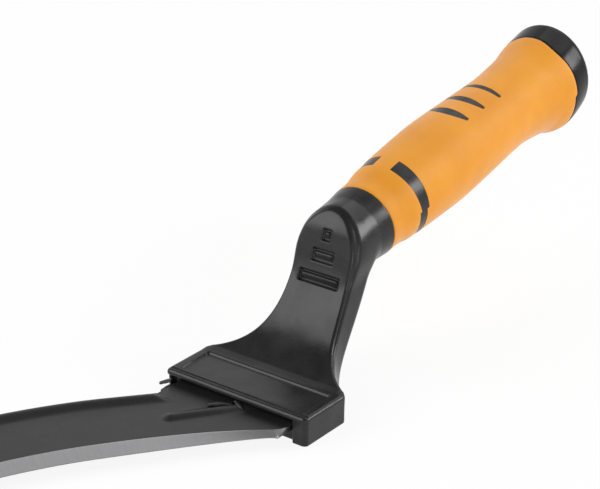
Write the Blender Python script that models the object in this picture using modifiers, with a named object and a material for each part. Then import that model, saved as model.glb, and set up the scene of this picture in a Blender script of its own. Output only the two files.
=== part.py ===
"""Garden sickle: a crescent blade held in a moulded head with a cranked neck and a soft grip.

Frame: +X to the right, +Y towards the butt of the handle, +Z up.
The origin is the centre of the flat underside of the head.
"""

import math

import bmesh
import bpy
from mathutils import Vector

MM = 0.001

# Fits
GAP = 0.3 * MM

# Head block
HEAD_LENGTH = 62.2 * MM
HEAD_DEPTH = 23.4 * MM
HEAD_HEIGHT = 10.8 * MM
HEAD_EDGE_RADIUS = 1.7 * MM
HEAD_CORNER_RADIUS = 2.4 * MM
PANEL_BORDER_SIDE = 4.0 * MM
PANEL_BORDER_FRONT = 3.7 * MM
PANEL_BORDER_REAR = 4.5 * MM
PANEL_SINK = 0.5 * MM

# Handle axis: its start is the edge between the collar and the soft grip
HANDLE_REACH = 63.2 * MM
HANDLE_RISE = 49.7 * MM
HANDLE_TILT = math.radians(9.8)
COLLAR_RADIUS = 14.5 * MM
COLLAR_LENGTH = 21.5 * MM
COLLAR_NOSE_LENGTH = 9.0 * MM
COLLAR_NOSE_DROP = 2.6 * MM

# Cranked neck
NECK_WIDTH = 24.0 * MM
NECK_FOOT_THICKNESS = 11.4 * MM
NECK_TOP_THICKNESS = 17.0 * MM
NECK_THICKENING = 1.5
NECK_FLARE = 8.7 * MM
NECK_BACK_FLARE = 0.8
NECK_FACE_SLOPE = math.radians(74.0)
NECK_FACE_PROUD = 3.0 * MM
NECK_FACE_STRAIGHT = 9.7 * MM
NECK_CROWN_RADIUS = 16.0 * MM
NECK_CROWN_TURN = math.radians(36.0)
NECK_ARCH_END = 0.97
NECK_FOOT_RISE = 0.8 * MM
NECK_FRONT_RADIUS = 1.3 * MM
NECK_BACK_RADIUS = 4.0 * MM
GROOVE_DEPTH = 0.7 * MM
GROOVE_WIDTH = 1.0 * MM

# Recessed marks on the neck's face, counted from the lower end of its straight stretch
MARK_DEPTH = 0.6 * MM
MARK_START = -6.7 * MM
BAR_LENGTH = 17.5 * MM
BAR_WIDTH = 4.4 * MM
SHORT_BAR_LENGTH = 9.5 * MM
SHORT_BAR_WIDTH = 4.9 * MM
PIP_SIZE = 4.0 * MM
MARK_PITCH = 8.0 * MM

# Soft grip over the core
GRIP_LENGTH = 120.6 * MM
GRIP_WALL = 2.8 * MM
GRIP_SHOULDER_PLACE = 14.0 * MM
GRIP_SHOULDER_WIDTH = 32.0 * MM
GRIP_BELLY_PLACE = 48.0 * MM
GRIP_BELLY_WIDTH = 34.9 * MM
GRIP_WAIST_PLACE = 92.0 * MM
GRIP_WAIST_WIDTH = 31.4 * MM
GRIP_FLARE_PLACE = 112.0 * MM
GRIP_FLARE_WIDTH = 35.0 * MM
BUTT_WIDTH = 38.8 * MM
BUTT_DROP = 0.76 * MM
BUTT_END_WIDTH = 37.3 * MM
GRIP_OVAL = 0.04
BUTT_OVAL = 0.09
GRIP_LIFT = 0.9 * MM

# Dark windows in the grip, filled by lands of the core
BAND_START = 13.8 * MM
BAND_WIDTH = 5.8 * MM
BAND_BRIDGE = math.radians(27.0)
CRESCENT_COUNT = 3
CRESCENT_START = 58.3 * MM
CRESCENT_PITCH = 11.4 * MM
CRESCENT_REACH = math.radians(30.0)
CRESCENT_END_WIDTH = 1.7 * MM
CRESCENT_MIDDLE_WIDTH = 3.9 * MM
LAND_SINK = 0.15 * MM

# Core bore and butt cap
BORE_DIAMETER = 17.0 * MM
BORE_START = 22.0 * MM
CAP_LENGTH = 12.6 * MM
CAP_RIM_RADIUS = 3.0 * MM
PLUG_LENGTH = 16.0 * MM
PLUG_WALL = 2.2 * MM

# Blade sheet and its crescent, walked along the middle line from the root
BLADE_THICKNESS = 2.0 * MM
BLADE_EDGE_THICKNESS = 0.3 * MM
BLADE_WIDTH = 38.6 * MM
BLADE_TIP_WIDTH = 1.6 * MM
BLADE_START_LEFT = 17.0 * MM
BLADE_START_FORWARD = 24.8 * MM
BLADE_HEADING = math.radians(231.2)
BLADE_ROOT_ARC_RADIUS = 280.0 * MM
BLADE_ROOT_ARC_LENGTH = 70.0 * MM
BLADE_BELLY_RADIUS = 150.0 * MM
BLADE_BELLY_LENGTH = 110.0 * MM
BLADE_TIP_RADIUS = 115.0 * MM
BLADE_TIP_LENGTH = 105.0 * MM
BLADE_TAPER_START = 40.0 * MM
BLADE_TAPER_POWER = 1.8
BEVEL_WIDTH = 8.3 * MM
BEVEL_HEEL_WIDTH = 5.7 * MM
BEVEL_SHARE = 0.45
BEAD_WIDTH = 6.2 * MM
BEAD_HEIGHT = 1.5 * MM
BEAD_SHARE = 0.35

# Blade root inside the head
ROOT_SIDE_WALL = 3.3 * MM
HEEL_SIDE_WALL = 6.5 * MM
HEEL_LENGTH = 6.0 * MM
HEEL_FLARE = 0.3 * MM
ROOT_DEPTH = 18.4 * MM
ROOT_TAPER = 4.0 * MM

# Stamped rib that runs from the blade into the head
RIB_LENGTH = 26.0 * MM
RIB_WIDTH = 5.4 * MM
RIB_HEIGHT = 0.9 * MM
RIB_HEADING = math.radians(236.0)

# Steel tang riveted under the blade root
TANG_WIDTH = 14.0 * MM
TANG_THICKNESS = 2.5 * MM
TANG_FOOT_SETBACK = 3.0 * MM
TANG_FOOT_BEND = 20.0 * MM
TANG_TOP_BEND = 15.0 * MM
TANG_CORNER_BEHIND_HEAD = 6.6 * MM
TANG_END = 13.0 * MM
RIVET_DIAMETER = 5.0 * MM
RIVET_HEAD_DIAMETER = 8.6 * MM
RIVET_HEAD_HEIGHT = 1.6 * MM
RIVET_PITCH = 9.5 * MM

# Facets
ROUND_SEGMENTS = 32
LOFT_STEP = 5.0 * MM
BLADE_STEP = 6.5 * MM

# Places worked out from the sizes
BLADE_Z = HEAD_HEIGHT / 2
BLADE_TOP = BLADE_Z + BLADE_THICKNESS / 2
BLADE_BOTTOM = BLADE_Z - BLADE_THICKNESS / 2
HEAD_FRONT = -HEAD_DEPTH / 2
HEAD_REAR = HEAD_DEPTH / 2
TANG_Z = BLADE_BOTTOM - GAP - TANG_THICKNESS / 2
RIVET_Y = (HEAD_FRONT + TANG_FOOT_SETBACK + RIVET_HEAD_DIAMETER / 2,
           HEAD_FRONT + TANG_FOOT_SETBACK + RIVET_HEAD_DIAMETER / 2 + RIVET_PITCH)
AXIS_START = Vector((0.0, HANDLE_REACH, HANDLE_RISE))
AXIS = Vector((0.0, math.cos(HANDLE_TILT), math.sin(HANDLE_TILT)))
AXIS_UP = Vector((0.0, -math.sin(HANDLE_TILT), math.cos(HANDLE_TILT)))
RIGHT = Vector((1.0, 0.0, 0.0))


def clear_scene():
    for thing in list(bpy.data.objects):
        bpy.data.objects.remove(thing, do_unlink=True)


def new_collection(name):
    collection = bpy.data.collections.new(name)
    bpy.context.scene.collection.children.link(collection)
    return collection


def material(name, colour, roughness, metallic=0.0):
    made = bpy.data.materials.new(name)
    made.use_nodes = True
    shader = made.node_tree.nodes["Principled BSDF"]
    shader.inputs["Base Color"].default_value = (*colour, 1.0)
    shader.inputs["Roughness"].default_value = roughness
    shader.inputs["Metallic"].default_value = metallic
    return made


def add_object(name, mesh, collection):
    thing = bpy.data.objects.new(name, mesh)
    collection.objects.link(thing)
    return thing


def finish_part(thing, surface, smooth_angle=math.radians(35)):
    thing.data.materials.append(surface)
    thing.data.shade_smooth()
    thing.data.set_sharp_from_angle(angle=smooth_angle)


def make_cutter(thing):
    thing.hide_render = True
    thing.display_type = "WIRE"
    return thing


def combine(target, tool, operation):
    step = target.modifiers.new(f"{operation.lower()}_{tool.name}", "BOOLEAN")
    step.operation = operation
    step.object = tool
    step.solver = "EXACT"


def loft(name, rings, collection):
    """Skin closed rings of equal length and cap both ends."""
    shape = bmesh.new()
    rows = [[shape.verts.new(point) for point in ring] for ring in rings]
    for near, far in zip(rows, rows[1:]):
        for i, vertex in enumerate(near):
            j = (i + 1) % len(near)
            shape.faces.new((vertex, near[j], far[j], far[i]))
    shape.faces.new(list(reversed(rows[0])))
    shape.faces.new(rows[-1])
    bmesh.ops.recalc_face_normals(shape, faces=shape.faces)
    mesh = bpy.data.meshes.new(name)
    shape.to_mesh(mesh)
    shape.free()
    return add_object(name, mesh, collection)


def prism(name, outline, low, high, collection):
    """Extrude a flat outline given in X and Y from one height to another."""
    rings = [[Vector((x, y, z)) for x, y in outline] for z in (low, high)]
    return loft(name, rings, collection)


def block(name, low, high, collection):
    """Box between two corners."""
    shape = bmesh.new()
    bmesh.ops.create_cube(shape, size=1.0)
    for vertex in shape.verts:
        for i in range(3):
            vertex.co[i] = low[i] + (vertex.co[i] + 0.5) * (high[i] - low[i])
    mesh = bpy.data.meshes.new(name)
    shape.to_mesh(mesh)
    shape.free()
    return add_object(name, mesh, collection)


def lathe(name, profile, place, collection, segments=ROUND_SEGMENTS):
    """Turn (radius, height) pairs, listed down the outer side, about the vertical."""
    shape = bmesh.new()
    verts = [shape.verts.new((radius, 0.0, height)) for radius, height in profile]
    for a, b in zip(verts, verts[1:]):
        shape.edges.new((a, b))
    mesh = bpy.data.meshes.new(name)
    shape.to_mesh(mesh)
    shape.free()
    thing = add_object(name, mesh, collection)
    thing.location = place
    turn = thing.modifiers.new("turn", "SCREW")
    turn.axis = "Z"
    turn.steps = segments
    turn.render_steps = segments
    turn.use_merge_vertices = True
    turn.merge_threshold = 0.00001
    return thing


def ease(value):
    """Smooth step from 0 to 1."""
    value = min(max(value, 0.0), 1.0)
    return value * value * (3.0 - 2.0 * value)


def spread(start, end, step):
    """Even places from start to end, no further apart than about one step."""
    count = max(1, round((end - start) / step))
    return [start + (end - start) * i / count for i in range(count + 1)]


def turn_left(heading):
    return Vector((-math.sin(heading), math.cos(heading)))


def walk(place, heading, length, radius):
    """Follow an arc that bends to the left and return the new place and heading."""
    turned = heading + length / radius
    centre = place + turn_left(heading) * radius
    return centre - turn_left(turned) * radius, turned


# Grip and handle sections


def grip_rows():
    """Place, half width, half height and lift of the sections that shape the grip."""
    belly = GRIP_BELLY_WIDTH / 2
    waist = GRIP_WAIST_WIDTH / 2
    flare = GRIP_FLARE_WIDTH / 2
    butt = BUTT_WIDTH / 2
    sections = [
        (0.0, COLLAR_RADIUS, 0.0, 0.5),
        (GRIP_SHOULDER_PLACE, GRIP_SHOULDER_WIDTH / 2, 0.3, 0.8),
        (GRIP_SHOULDER_PLACE * 0.5 + GRIP_BELLY_PLACE * 0.5, belly * 0.975, 0.6, 0.9),
        (GRIP_BELLY_PLACE, belly, 1.0, 1.0),
        ((GRIP_BELLY_PLACE + GRIP_WAIST_PLACE) / 2, (belly + waist) / 2, 1.4, 1.0),
        (GRIP_WAIST_PLACE, waist, 1.8, 1.0),
        (GRIP_WAIST_PLACE * 0.4 + GRIP_FLARE_PLACE * 0.6, waist * 0.56 + flare * 0.44, 2.0, 0.5),
        (GRIP_FLARE_PLACE, flare, 2.1, -0.2),
    ]
    rows = [(place, half, half * (1 + GRIP_OVAL * oval), GRIP_LIFT * lift)
            for place, half, oval, lift in sections]
    end = BUTT_END_WIDTH / 2
    rows.append((GRIP_LENGTH, butt, butt * (1 + BUTT_OVAL), -BUTT_DROP))
    rows.append((GRIP_LENGTH + CAP_LENGTH, end, end * (1 + BUTT_OVAL), GRIP_LIFT))
    return rows


def grip_section(place):
    """Half width, half height and lift at a place, on a smooth curve through the rows."""
    rows = grip_rows()
    if place <= rows[0][0]:
        return rows[0][1:]
    if place >= rows[-1][0]:
        return rows[-1][1:]
    k = max(i for i in range(len(rows) - 1) if rows[i][0] <= place)
    before = rows[max(k - 1, 0)]
    here = rows[k]
    there = rows[k + 1]
    after = rows[min(k + 2, len(rows) - 1)]
    span = there[0] - here[0]
    t = (place - here[0]) / span
    values = []
    for i in (1, 2, 3):
        slope_here = (there[i] - before[i]) / (there[0] - before[0])
        slope_there = (after[i] - here[i]) / (after[0] - here[0])
        values.append(here[i] * (2 * t**3 - 3 * t**2 + 1)
                      + slope_here * span * (t**3 - 2 * t**2 + t)
                      + there[i] * (3 * t**2 - 2 * t**3)
                      + slope_there * span * (t**3 - t**2))
    return tuple(values)


def handle_ring(place, half_width, half_height, lift):
    centre = AXIS_START + AXIS * place + AXIS_UP * lift
    ring = []
    for i in range(ROUND_SEGMENTS):
        angle = 2 * math.pi * i / ROUND_SEGMENTS
        ring.append(centre + RIGHT * (half_width * math.cos(angle))
                    + AXIS_UP * (half_height * math.sin(angle)))
    return ring


def grip_ring(place, inset):
    half_width, half_height, lift = grip_section(place)
    return handle_ring(place, half_width - inset, half_height - inset, lift)


def grip_form(name, start, end, inset, collection):
    """The grip's form between two places, drawn in by an inset."""
    rings = [grip_ring(place, inset) for place in spread(start, end, LOFT_STEP)]
    return loft(name, rings, collection)


def band_cutter(name, clearance, collection):
    """Ring sector of the dark band, drawn in on every side by a clearance."""
    half_bridge = BAND_BRIDGE / 2 + clearance / COLLAR_RADIUS
    inner = COLLAR_RADIUS - 2 * GRIP_WALL
    outer = BUTT_WIDTH
    low = BAND_START + clearance
    high = BAND_START + BAND_WIDTH - clearance
    rings = []
    for i in range(ROUND_SEGMENTS + 1):
        angle = math.pi / 2 + half_bridge + (2 * math.pi - 2 * half_bridge) * i / ROUND_SEGMENTS
        outward = RIGHT * math.cos(angle) + AXIS_UP * math.sin(angle)
        rings.append([AXIS_START + outward * radius + AXIS * place
                      for radius, place in ((inner, low), (outer, low), (outer, high), (inner, high))])
    return make_cutter(loft(name, rings, collection))


def crescent_cutter(name, rear, clearance, collection):
    """D-shaped window: straight towards the butt, bowed towards the head."""
    reach = GRIP_BELLY_WIDTH / 2 * math.sin(CRESCENT_REACH) - clearance
    end_width = CRESCENT_END_WIDTH - 2 * clearance
    middle_width = CRESCENT_MIDDLE_WIDTH - 2 * clearance
    steps = 10
    outline = []
    for i in range(steps + 1):
        across = -1 + 2 * i / steps
        bow = end_width + (middle_width - end_width) * (1 - across * across)
        outline.append((reach * across, rear - clearance - bow))
    outline += [(reach, rear - clearance), (-reach, rear - clearance)]
    rings = []
    for height in (GRIP_WAIST_WIDTH / 2 - 2 * GRIP_WALL, BUTT_WIDTH):
        rings.append([AXIS_START + RIGHT * x + AXIS * y + AXIS_UP * height for x, y in outline])
    return make_cutter(loft(name, rings, collection))


def grip_windows(prefix, clearance, collection):
    """Cutters of the band and the crescents."""
    windows = [band_cutter(f"{prefix}_band", clearance, collection)]
    for i in range(CRESCENT_COUNT):
        rear = CRESCENT_START + CRESCENT_PITCH * i
        windows.append(crescent_cutter(f"{prefix}_crescent_{i + 1}", rear, clearance, collection))
    return windows


def make_grip(parts, cutters, surface):
    sleeve = grip_form("grip_sleeve", GAP, GRIP_LENGTH, 0.0, parts)
    hollow = make_cutter(grip_form("grip_hollow", -BAND_WIDTH, GRIP_LENGTH + BAND_WIDTH,
                                   GRIP_WALL, cutters))
    combine(sleeve, hollow, "DIFFERENCE")
    for window in grip_windows("window", 0.0, cutters):
        combine(sleeve, window, "DIFFERENCE")
    finish_part(sleeve, surface)


# Neck


def neck_line():
    """Points of the neck's face in the plane X = 0, as distance, y, z and slope."""
    nose = AXIS_START - AXIS * COLLAR_LENGTH
    start = Vector((HEAD_REAR, HEAD_HEIGHT + NECK_FOOT_RISE))
    turn_end = Vector((nose.y - NECK_FACE_PROUD, nose.z - NECK_FACE_PROUD))
    chord = turn_end - start
    first_slope = 2 * math.atan2(chord.y, chord.x) - NECK_FACE_SLOPE
    radius = chord.length / (2 * math.sin((NECK_FACE_SLOPE - first_slope) / 2))
    sweep_length = radius * (NECK_FACE_SLOPE - first_slope)
    crown_length = NECK_CROWN_RADIUS * NECK_CROWN_TURN
    points = []
    for distance in spread(0.0, sweep_length, LOFT_STEP / 2):
        slope = first_slope + distance / radius
        points.append((distance, start.x + radius * (math.sin(slope) - math.sin(first_slope)),
                       start.y + radius * (math.cos(first_slope) - math.cos(slope)), slope))
    direction = Vector((math.cos(NECK_FACE_SLOPE), math.sin(NECK_FACE_SLOPE)))
    for distance in spread(0.0, NECK_FACE_STRAIGHT, LOFT_STEP / 2)[1:]:
        place = turn_end + direction * distance
        points.append((sweep_length + distance, place.x, place.y, NECK_FACE_SLOPE))
    crown = turn_end + direction * NECK_FACE_STRAIGHT
    for distance in spread(0.0, crown_length, LOFT_STEP / 3)[1:]:
        slope = NECK_FACE_SLOPE - distance / NECK_CROWN_RADIUS
        points.append((sweep_length + NECK_FACE_STRAIGHT + distance,
                       crown.x + NECK_CROWN_RADIUS * (math.sin(NECK_FACE_SLOPE) - math.sin(slope)),
                       crown.y + NECK_CROWN_RADIUS * (math.cos(slope) - math.cos(NECK_FACE_SLOPE)),
                       slope))
    return points, sweep_length, sweep_length + NECK_FACE_STRAIGHT + crown_length


def neck_half_width(distance, height, arch_low, arch_high):
    """Half width of the parallel shank with its arched top, and what the foot's flare adds."""
    half = NECK_WIDTH / 2
    flare = (HEAD_LENGTH / 2 - HEAD_EDGE_RADIUS - half) * math.exp(-distance / NECK_FLARE)
    rise = min(max(height - arch_low, 0.0) / (arch_high - arch_low), NECK_ARCH_END)
    return half * math.sqrt(1 - rise * rise), flare


def neck_ring(y, z, slope, half_width, back_half_width, thickness):
    """Section with a rounded face edge, a side groove behind it and a round back."""
    front = Vector((0.0, y, z))
    inward = Vector((0.0, math.sin(slope), -math.cos(slope)))
    back = min(NECK_BACK_RADIUS, back_half_width * 0.6)
    edge = min(NECK_FRONT_RADIUS, half_width * 0.4)
    side = [(half_width * 0.5, 0.0), (half_width - edge, 0.0),
            (half_width - edge * 0.3, edge * 0.3), (half_width, edge),
            (half_width - GROOVE_DEPTH, edge + GROOVE_WIDTH * 0.25),
            (half_width - GROOVE_DEPTH, edge + GROOVE_WIDTH * 0.7),
            (half_width - GROOVE_DEPTH * 0.1, edge + GROOVE_WIDTH),
            (half_width, edge + GROOVE_WIDTH * 1.6)]
    for i in range(5):
        angle = math.pi / 2 * i / 4
        side.append((back_half_width - back + back * math.cos(angle),
                     thickness - back + back * math.sin(angle)))
    side.append((back_half_width * 0.3, thickness))
    half = [front + RIGHT * x + inward * depth for x, depth in side]
    other = [front - RIGHT * x + inward * depth for x, depth in reversed(side)]
    return half + other


def neck_rings():
    points, sweep_length, full_length = neck_line()
    arch_low = (AXIS_START - AXIS * COLLAR_LENGTH).z - NECK_FACE_PROUD * 0.7
    arch_high = points[-1][2]
    rings = []
    for distance, y, z, slope in points:
        share = min(distance / sweep_length, 1.0) ** NECK_THICKENING
        thickness = NECK_FOOT_THICKNESS + (NECK_TOP_THICKNESS - NECK_FOOT_THICKNESS) * share
        half_width, flare = neck_half_width(distance, z, arch_low, arch_high)
        rings.append(neck_ring(y, z, slope, half_width + flare,
                               half_width + flare * NECK_BACK_FLARE, thickness))
    return rings


def neck_root_ring():
    """First section, upright and inside the head block."""
    half_width = HEAD_LENGTH / 2 - HEAD_EDGE_RADIUS * 1.5
    low = HEAD_EDGE_RADIUS * 0.6
    high = HEAD_HEIGHT - HEAD_EDGE_RADIUS * 0.3
    back_half_width = half_width - HEAD_EDGE_RADIUS
    return neck_ring(HEAD_REAR - HEAD_EDGE_RADIUS * 2, high, 0.0, half_width, back_half_width, high - low)


# Blade


def blade_middle(distance):
    """Place and heading on the blade's middle line."""
    place = Vector((-BLADE_START_LEFT, HEAD_FRONT - BLADE_START_FORWARD))
    heading = BLADE_HEADING
    left = distance
    for length, radius in ((BLADE_ROOT_ARC_LENGTH, BLADE_ROOT_ARC_RADIUS),
                           (BLADE_BELLY_LENGTH, BLADE_BELLY_RADIUS),
                           (BLADE_TIP_LENGTH, BLADE_TIP_RADIUS)):
        part = min(left, length)
        place, heading = walk(place, heading, part, radius)
        left -= part
    return place, heading


def blade_length():
    return BLADE_ROOT_ARC_LENGTH + BLADE_BELLY_LENGTH + BLADE_TIP_LENGTH


def blade_half_width(distance):
    share = max(0.0, (distance - BLADE_TAPER_START) / (blade_length() - BLADE_TAPER_START))
    full = BLADE_TIP_WIDTH + (BLADE_WIDTH - BLADE_TIP_WIDTH) * (1 - share**BLADE_TAPER_POWER)
    return full / 2


def spine_point(distance):
    place, heading = blade_middle(distance)
    return place - turn_left(heading) * blade_half_width(distance)


def edge_point(distance):
    place, heading = blade_middle(distance)
    return place + turn_left(heading) * blade_half_width(distance)


def root_corners():
    """Left and right side of the root: at its rear end, at the head's face and at the heel."""
    left = -HEAD_LENGTH / 2 + ROOT_SIDE_WALL
    right = HEAD_LENGTH / 2 - HEEL_SIDE_WALL
    rear = HEAD_FRONT + ROOT_DEPTH
    return {
        "rear": (Vector((left + ROOT_TAPER, rear)), Vector((right - ROOT_TAPER, rear))),
        "face": (Vector((left, HEAD_FRONT)), Vector((right, HEAD_FRONT))),
        "heel": (Vector((left, HEAD_FRONT - HEEL_LENGTH)),
                 Vector((right + HEEL_FLARE, HEAD_FRONT - HEEL_LENGTH))),
    }


def fan_points(share):
    """Spine and edge between the heel and the start of the crescent."""
    heel_left, heel_right = root_corners()["heel"]
    spine_start, heading = spine_point(0.0), BLADE_HEADING
    edge_start = edge_point(0.0)
    back = Vector((-math.cos(heading), -math.sin(heading)))
    corner = spine_start + back * ((heel_left.x - spine_start.x) / back.x)
    a, b, c = (1 - share)**2, 2 * share * (1 - share), share**2
    spine = heel_left * a + corner * b + spine_start * c
    bend = edge_start + back * ((edge_start - heel_right).length * 0.7)
    edge = heel_right * a + bend * b + edge_start * c
    return spine, edge


def blade_stations():
    """Spine point, edge point, bevel width and bead share of each section."""
    corners = root_corners()
    stations = [(*corners["rear"], 0.0, 0.0), (*corners["face"], BEVEL_HEEL_WIDTH * 0.15, 0.0)]
    fan_steps = 8
    for i in range(fan_steps):
        share = i / fan_steps
        bevel = BEVEL_HEEL_WIDTH + (BEVEL_WIDTH - BEVEL_HEEL_WIDTH) * ease(share)
        stations.append((*fan_points(share), bevel, ease(share)))
    for distance in spread(0.0, blade_length(), BLADE_STEP):
        width = 2 * blade_half_width(distance)
        bevel = min(BEVEL_WIDTH, width * BEVEL_SHARE)
        bead = min(1.0, width / (BEVEL_WIDTH + BEAD_WIDTH) / 1.2)
        stations.append((spine_point(distance), edge_point(distance), bevel, bead))
    return stations


def blade_ring(spine, edge, spine_way, edge_way, bevel, bead):
    """Closed section: pressed bead at the spine, flat sheet, one ground bevel."""
    width = (edge - spine).length
    bead_width = min(BEAD_WIDTH, width * BEAD_SHARE)
    spine_in = turn_left(math.atan2(spine_way.y, spine_way.x))
    edge_in = -turn_left(math.atan2(edge_way.y, edge_way.x))
    top = []
    steps = 4
    for i in range(steps + 1):
        share = i / steps
        place = spine + spine_in * (bead_width * share)
        rise = BEAD_HEIGHT * bead * math.sin(math.pi * share)**2
        top.append((place, BLADE_TOP + rise, BLADE_BOTTOM + rise))
    inner = edge + edge_in * max(bevel, 0.05 * MM)
    drop = (BLADE_THICKNESS - BLADE_EDGE_THICKNESS) * min(bevel / BEVEL_WIDTH, 1.0)
    if width < BEVEL_WIDTH / BEVEL_SHARE:
        drop = BLADE_THICKNESS - BLADE_EDGE_THICKNESS
    top.append((inner, BLADE_TOP, BLADE_BOTTOM))
    top.append((edge, BLADE_TOP - drop, BLADE_BOTTOM))
    ring = [Vector((place.x, place.y, high)) for place, high, low in top]
    ring += [Vector((place.x, place.y, low)) for place, high, low in reversed(top)]
    return ring


def blade_rings():
    stations = blade_stations()
    root_count = 3
    rings = []
    for i, (spine, edge, bevel, bead) in enumerate(stations):
        before = stations[i if i < root_count else i - 1]
        after = stations[min(i + 1, len(stations) - 1)]
        rings.append(blade_ring(spine, edge, after[0] - before[0], after[1] - before[1], bevel, bead))
    return rings


def rib_rings(clearance):
    """Stamped rib, widest at the head and tapering to nothing along the blade."""
    start = Vector((0.0, HEAD_FRONT))
    way = Vector((math.cos(RIB_HEADING), math.sin(RIB_HEADING)))
    across = turn_left(RIB_HEADING)
    rings = []
    for share in (-0.1, 0.0, 0.2, 0.4, 0.6, 0.8, 0.93, 1.0):
        fade = max(1 - max(share, 0.0)**2, 0.12)
        middle = start + way * (RIB_LENGTH * share)
        half = RIB_WIDTH / 2 * fade + clearance
        crest = RIB_HEIGHT * fade + clearance
        ring = []
        for i in range(7):
            angle = math.pi * i / 6
            place = middle + across * (half * math.cos(angle))
            ring.append(Vector((place.x, place.y, BLADE_TOP + crest * math.sin(angle))))
        for sign in (-1, 1):
            place = middle + across * (half * sign)
            ring.append(Vector((place.x, place.y, BLADE_Z)))
        rings.append(ring)
    return rings


def make_blade(parts, cutters, surface):
    blade = loft("blade", blade_rings(), parts)
    rib = make_cutter(loft("blade_rib", rib_rings(0.0), cutters))
    combine(blade, rib, "UNION")
    for name, y in zip(("front", "rear"), RIVET_Y):
        hole = rivet_shape(f"blade_hole_{name}", y, GAP, cutters)
        combine(blade, make_cutter(hole), "DIFFERENCE")
    finish_part(blade, surface)


# Tang and rivets


def tang_path():
    """Middle line in Y and Z: flat foot, bend up into the neck, bend back along the handle."""
    foot = Vector((HEAD_FRONT + TANG_FOOT_SETBACK, TANG_Z))
    corner = Vector((HEAD_REAR + TANG_CORNER_BEHIND_HEAD, TANG_Z))
    turn = AXIS_START - AXIS * (COLLAR_LENGTH / 2)
    turn = Vector((turn.y, turn.z))
    end = AXIS_START + AXIS * TANG_END
    end = Vector((end.y, end.z))
    path = [foot]
    for before, here, after, radius in ((foot, corner, turn, TANG_FOOT_BEND),
                                        (corner, turn, end, TANG_TOP_BEND)):
        arrive = (here - before).normalized()
        leave = (after - here).normalized()
        angle = arrive.angle(leave)
        reach = radius * math.tan(angle / 2)
        begin = here - arrive * reach
        side = 1.0 if arrive.x * leave.y - arrive.y * leave.x > 0 else -1.0
        normal = Vector((-arrive.y, arrive.x)) * side
        centre = begin + normal * radius
        for i in range(7):
            swing = angle * i / 6
            path.append(centre - normal * (radius * math.cos(swing)) + arrive * (radius * math.sin(swing)))
    path.append(end)
    return path


def tang_form(name, clearance, collection):
    path = tang_path()
    first = (path[0] - path[1]).normalized() * clearance
    last = (path[-1] - path[-2]).normalized() * clearance
    path = [path[0] + first] + path[1:-1] + [path[-1] + last]
    half_width = TANG_WIDTH / 2 + clearance
    half = TANG_THICKNESS / 2 + clearance
    rings = []
    for i, place in enumerate(path):
        way = (path[min(i + 1, len(path) - 1)] - path[max(i - 1, 0)]).normalized()
        normal = Vector((-way.y, way.x))
        rings.append([Vector((x, place.x + normal.x * n, place.y + normal.y * n))
                      for x, n in ((-half_width, -half), (half_width, -half),
                                   (half_width, half), (-half_width, half))])
    return loft(name, rings, collection)


def rivet_shape(name, y, clearance, collection):
    """Shank from the underside of the tang to a low dome above the blade root."""
    shank = RIVET_DIAMETER / 2 + clearance
    head = RIVET_HEAD_DIAMETER / 2 + clearance
    seat = BLADE_TOP + GAP - clearance
    crown = BLADE_TOP + GAP + RIVET_HEAD_HEIGHT + clearance
    foot = TANG_Z - TANG_THICKNESS / 2 - clearance
    profile = [(0.0, crown), (head * 0.55, crown - (crown - seat) * 0.12),
               (head * 0.86, crown - (crown - seat) * 0.45), (head, seat), (shank, seat),
               (shank, foot), (0.0, foot)]
    return lathe(name, profile, (0.0, y, 0.0), collection, segments=20)


def make_tang(parts, cutters, surface, rivet_surface):
    tang = tang_form("tang", 0.0, parts)
    for name, y in zip(("front", "rear"), RIVET_Y):
        hole = make_cutter(rivet_shape(f"tang_hole_{name}", y, GAP, cutters))
        combine(tang, hole, "DIFFERENCE")
        rivet = rivet_shape(f"tang_rivet_{name}", y, 0.0, parts)
        finish_part(rivet, rivet_surface)
    finish_part(tang, surface)


# Moulded handle: head, neck, collar and core in one piece


def core_form(collection):
    """Collar whose rounded nose lies parallel to the neck's face, and the core under the grip."""
    lean = 1 / math.tan(NECK_FACE_SLOPE - HANDLE_TILT)
    rings = []
    for i in range(6):
        share = i / 5
        place = -COLLAR_LENGTH + COLLAR_NOSE_LENGTH * share**2
        radius = COLLAR_RADIUS - COLLAR_NOSE_DROP * (1 - share)**2
        ring = handle_ring(place, radius, radius, 0.0)
        centre = AXIS_START + AXIS * place
        rings.append([point + AXIS * ((point - centre).dot(AXIS_UP) * lean) for point in ring])
    rings.append(handle_ring(0.0, COLLAR_RADIUS, COLLAR_RADIUS, GRIP_LIFT * 0.5))
    inset = GRIP_WALL + GAP
    for place in spread(0.0, GRIP_LENGTH, LOFT_STEP):
        rings.append(grip_ring(place, inset))
    return loft("moulded_handle", rings, collection)


def rounded_outline(half_length, half_depth, radius, height):
    """Rectangle with rounded corners, seen from above."""
    ring = []
    for corner, (sign_x, sign_y) in enumerate(((1, 1), (-1, 1), (-1, -1), (1, -1))):
        for i in range(5):
            angle = math.pi / 2 * (corner + i / 4)
            ring.append(Vector((sign_x * (half_length - radius) + radius * math.cos(angle),
                                sign_y * (half_depth - radius) + radius * math.sin(angle), height)))
    return ring


def head_form(collection):
    """Head block: rounded upright edges, a rounded top and a crisp flat underside."""
    levels = [(0.0, GAP), (GAP, 0.0)]
    for i in range(4):
        angle = math.pi / 2 * i / 3
        levels.append((HEAD_HEIGHT - HEAD_EDGE_RADIUS * (1 - math.sin(angle)),
                       HEAD_EDGE_RADIUS * (1 - math.cos(angle))))
    rings = [rounded_outline(HEAD_LENGTH / 2 - inset, HEAD_DEPTH / 2 - inset,
                             HEAD_CORNER_RADIUS - inset, height) for height, inset in levels]
    return loft("head_block", rings, collection)


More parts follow.
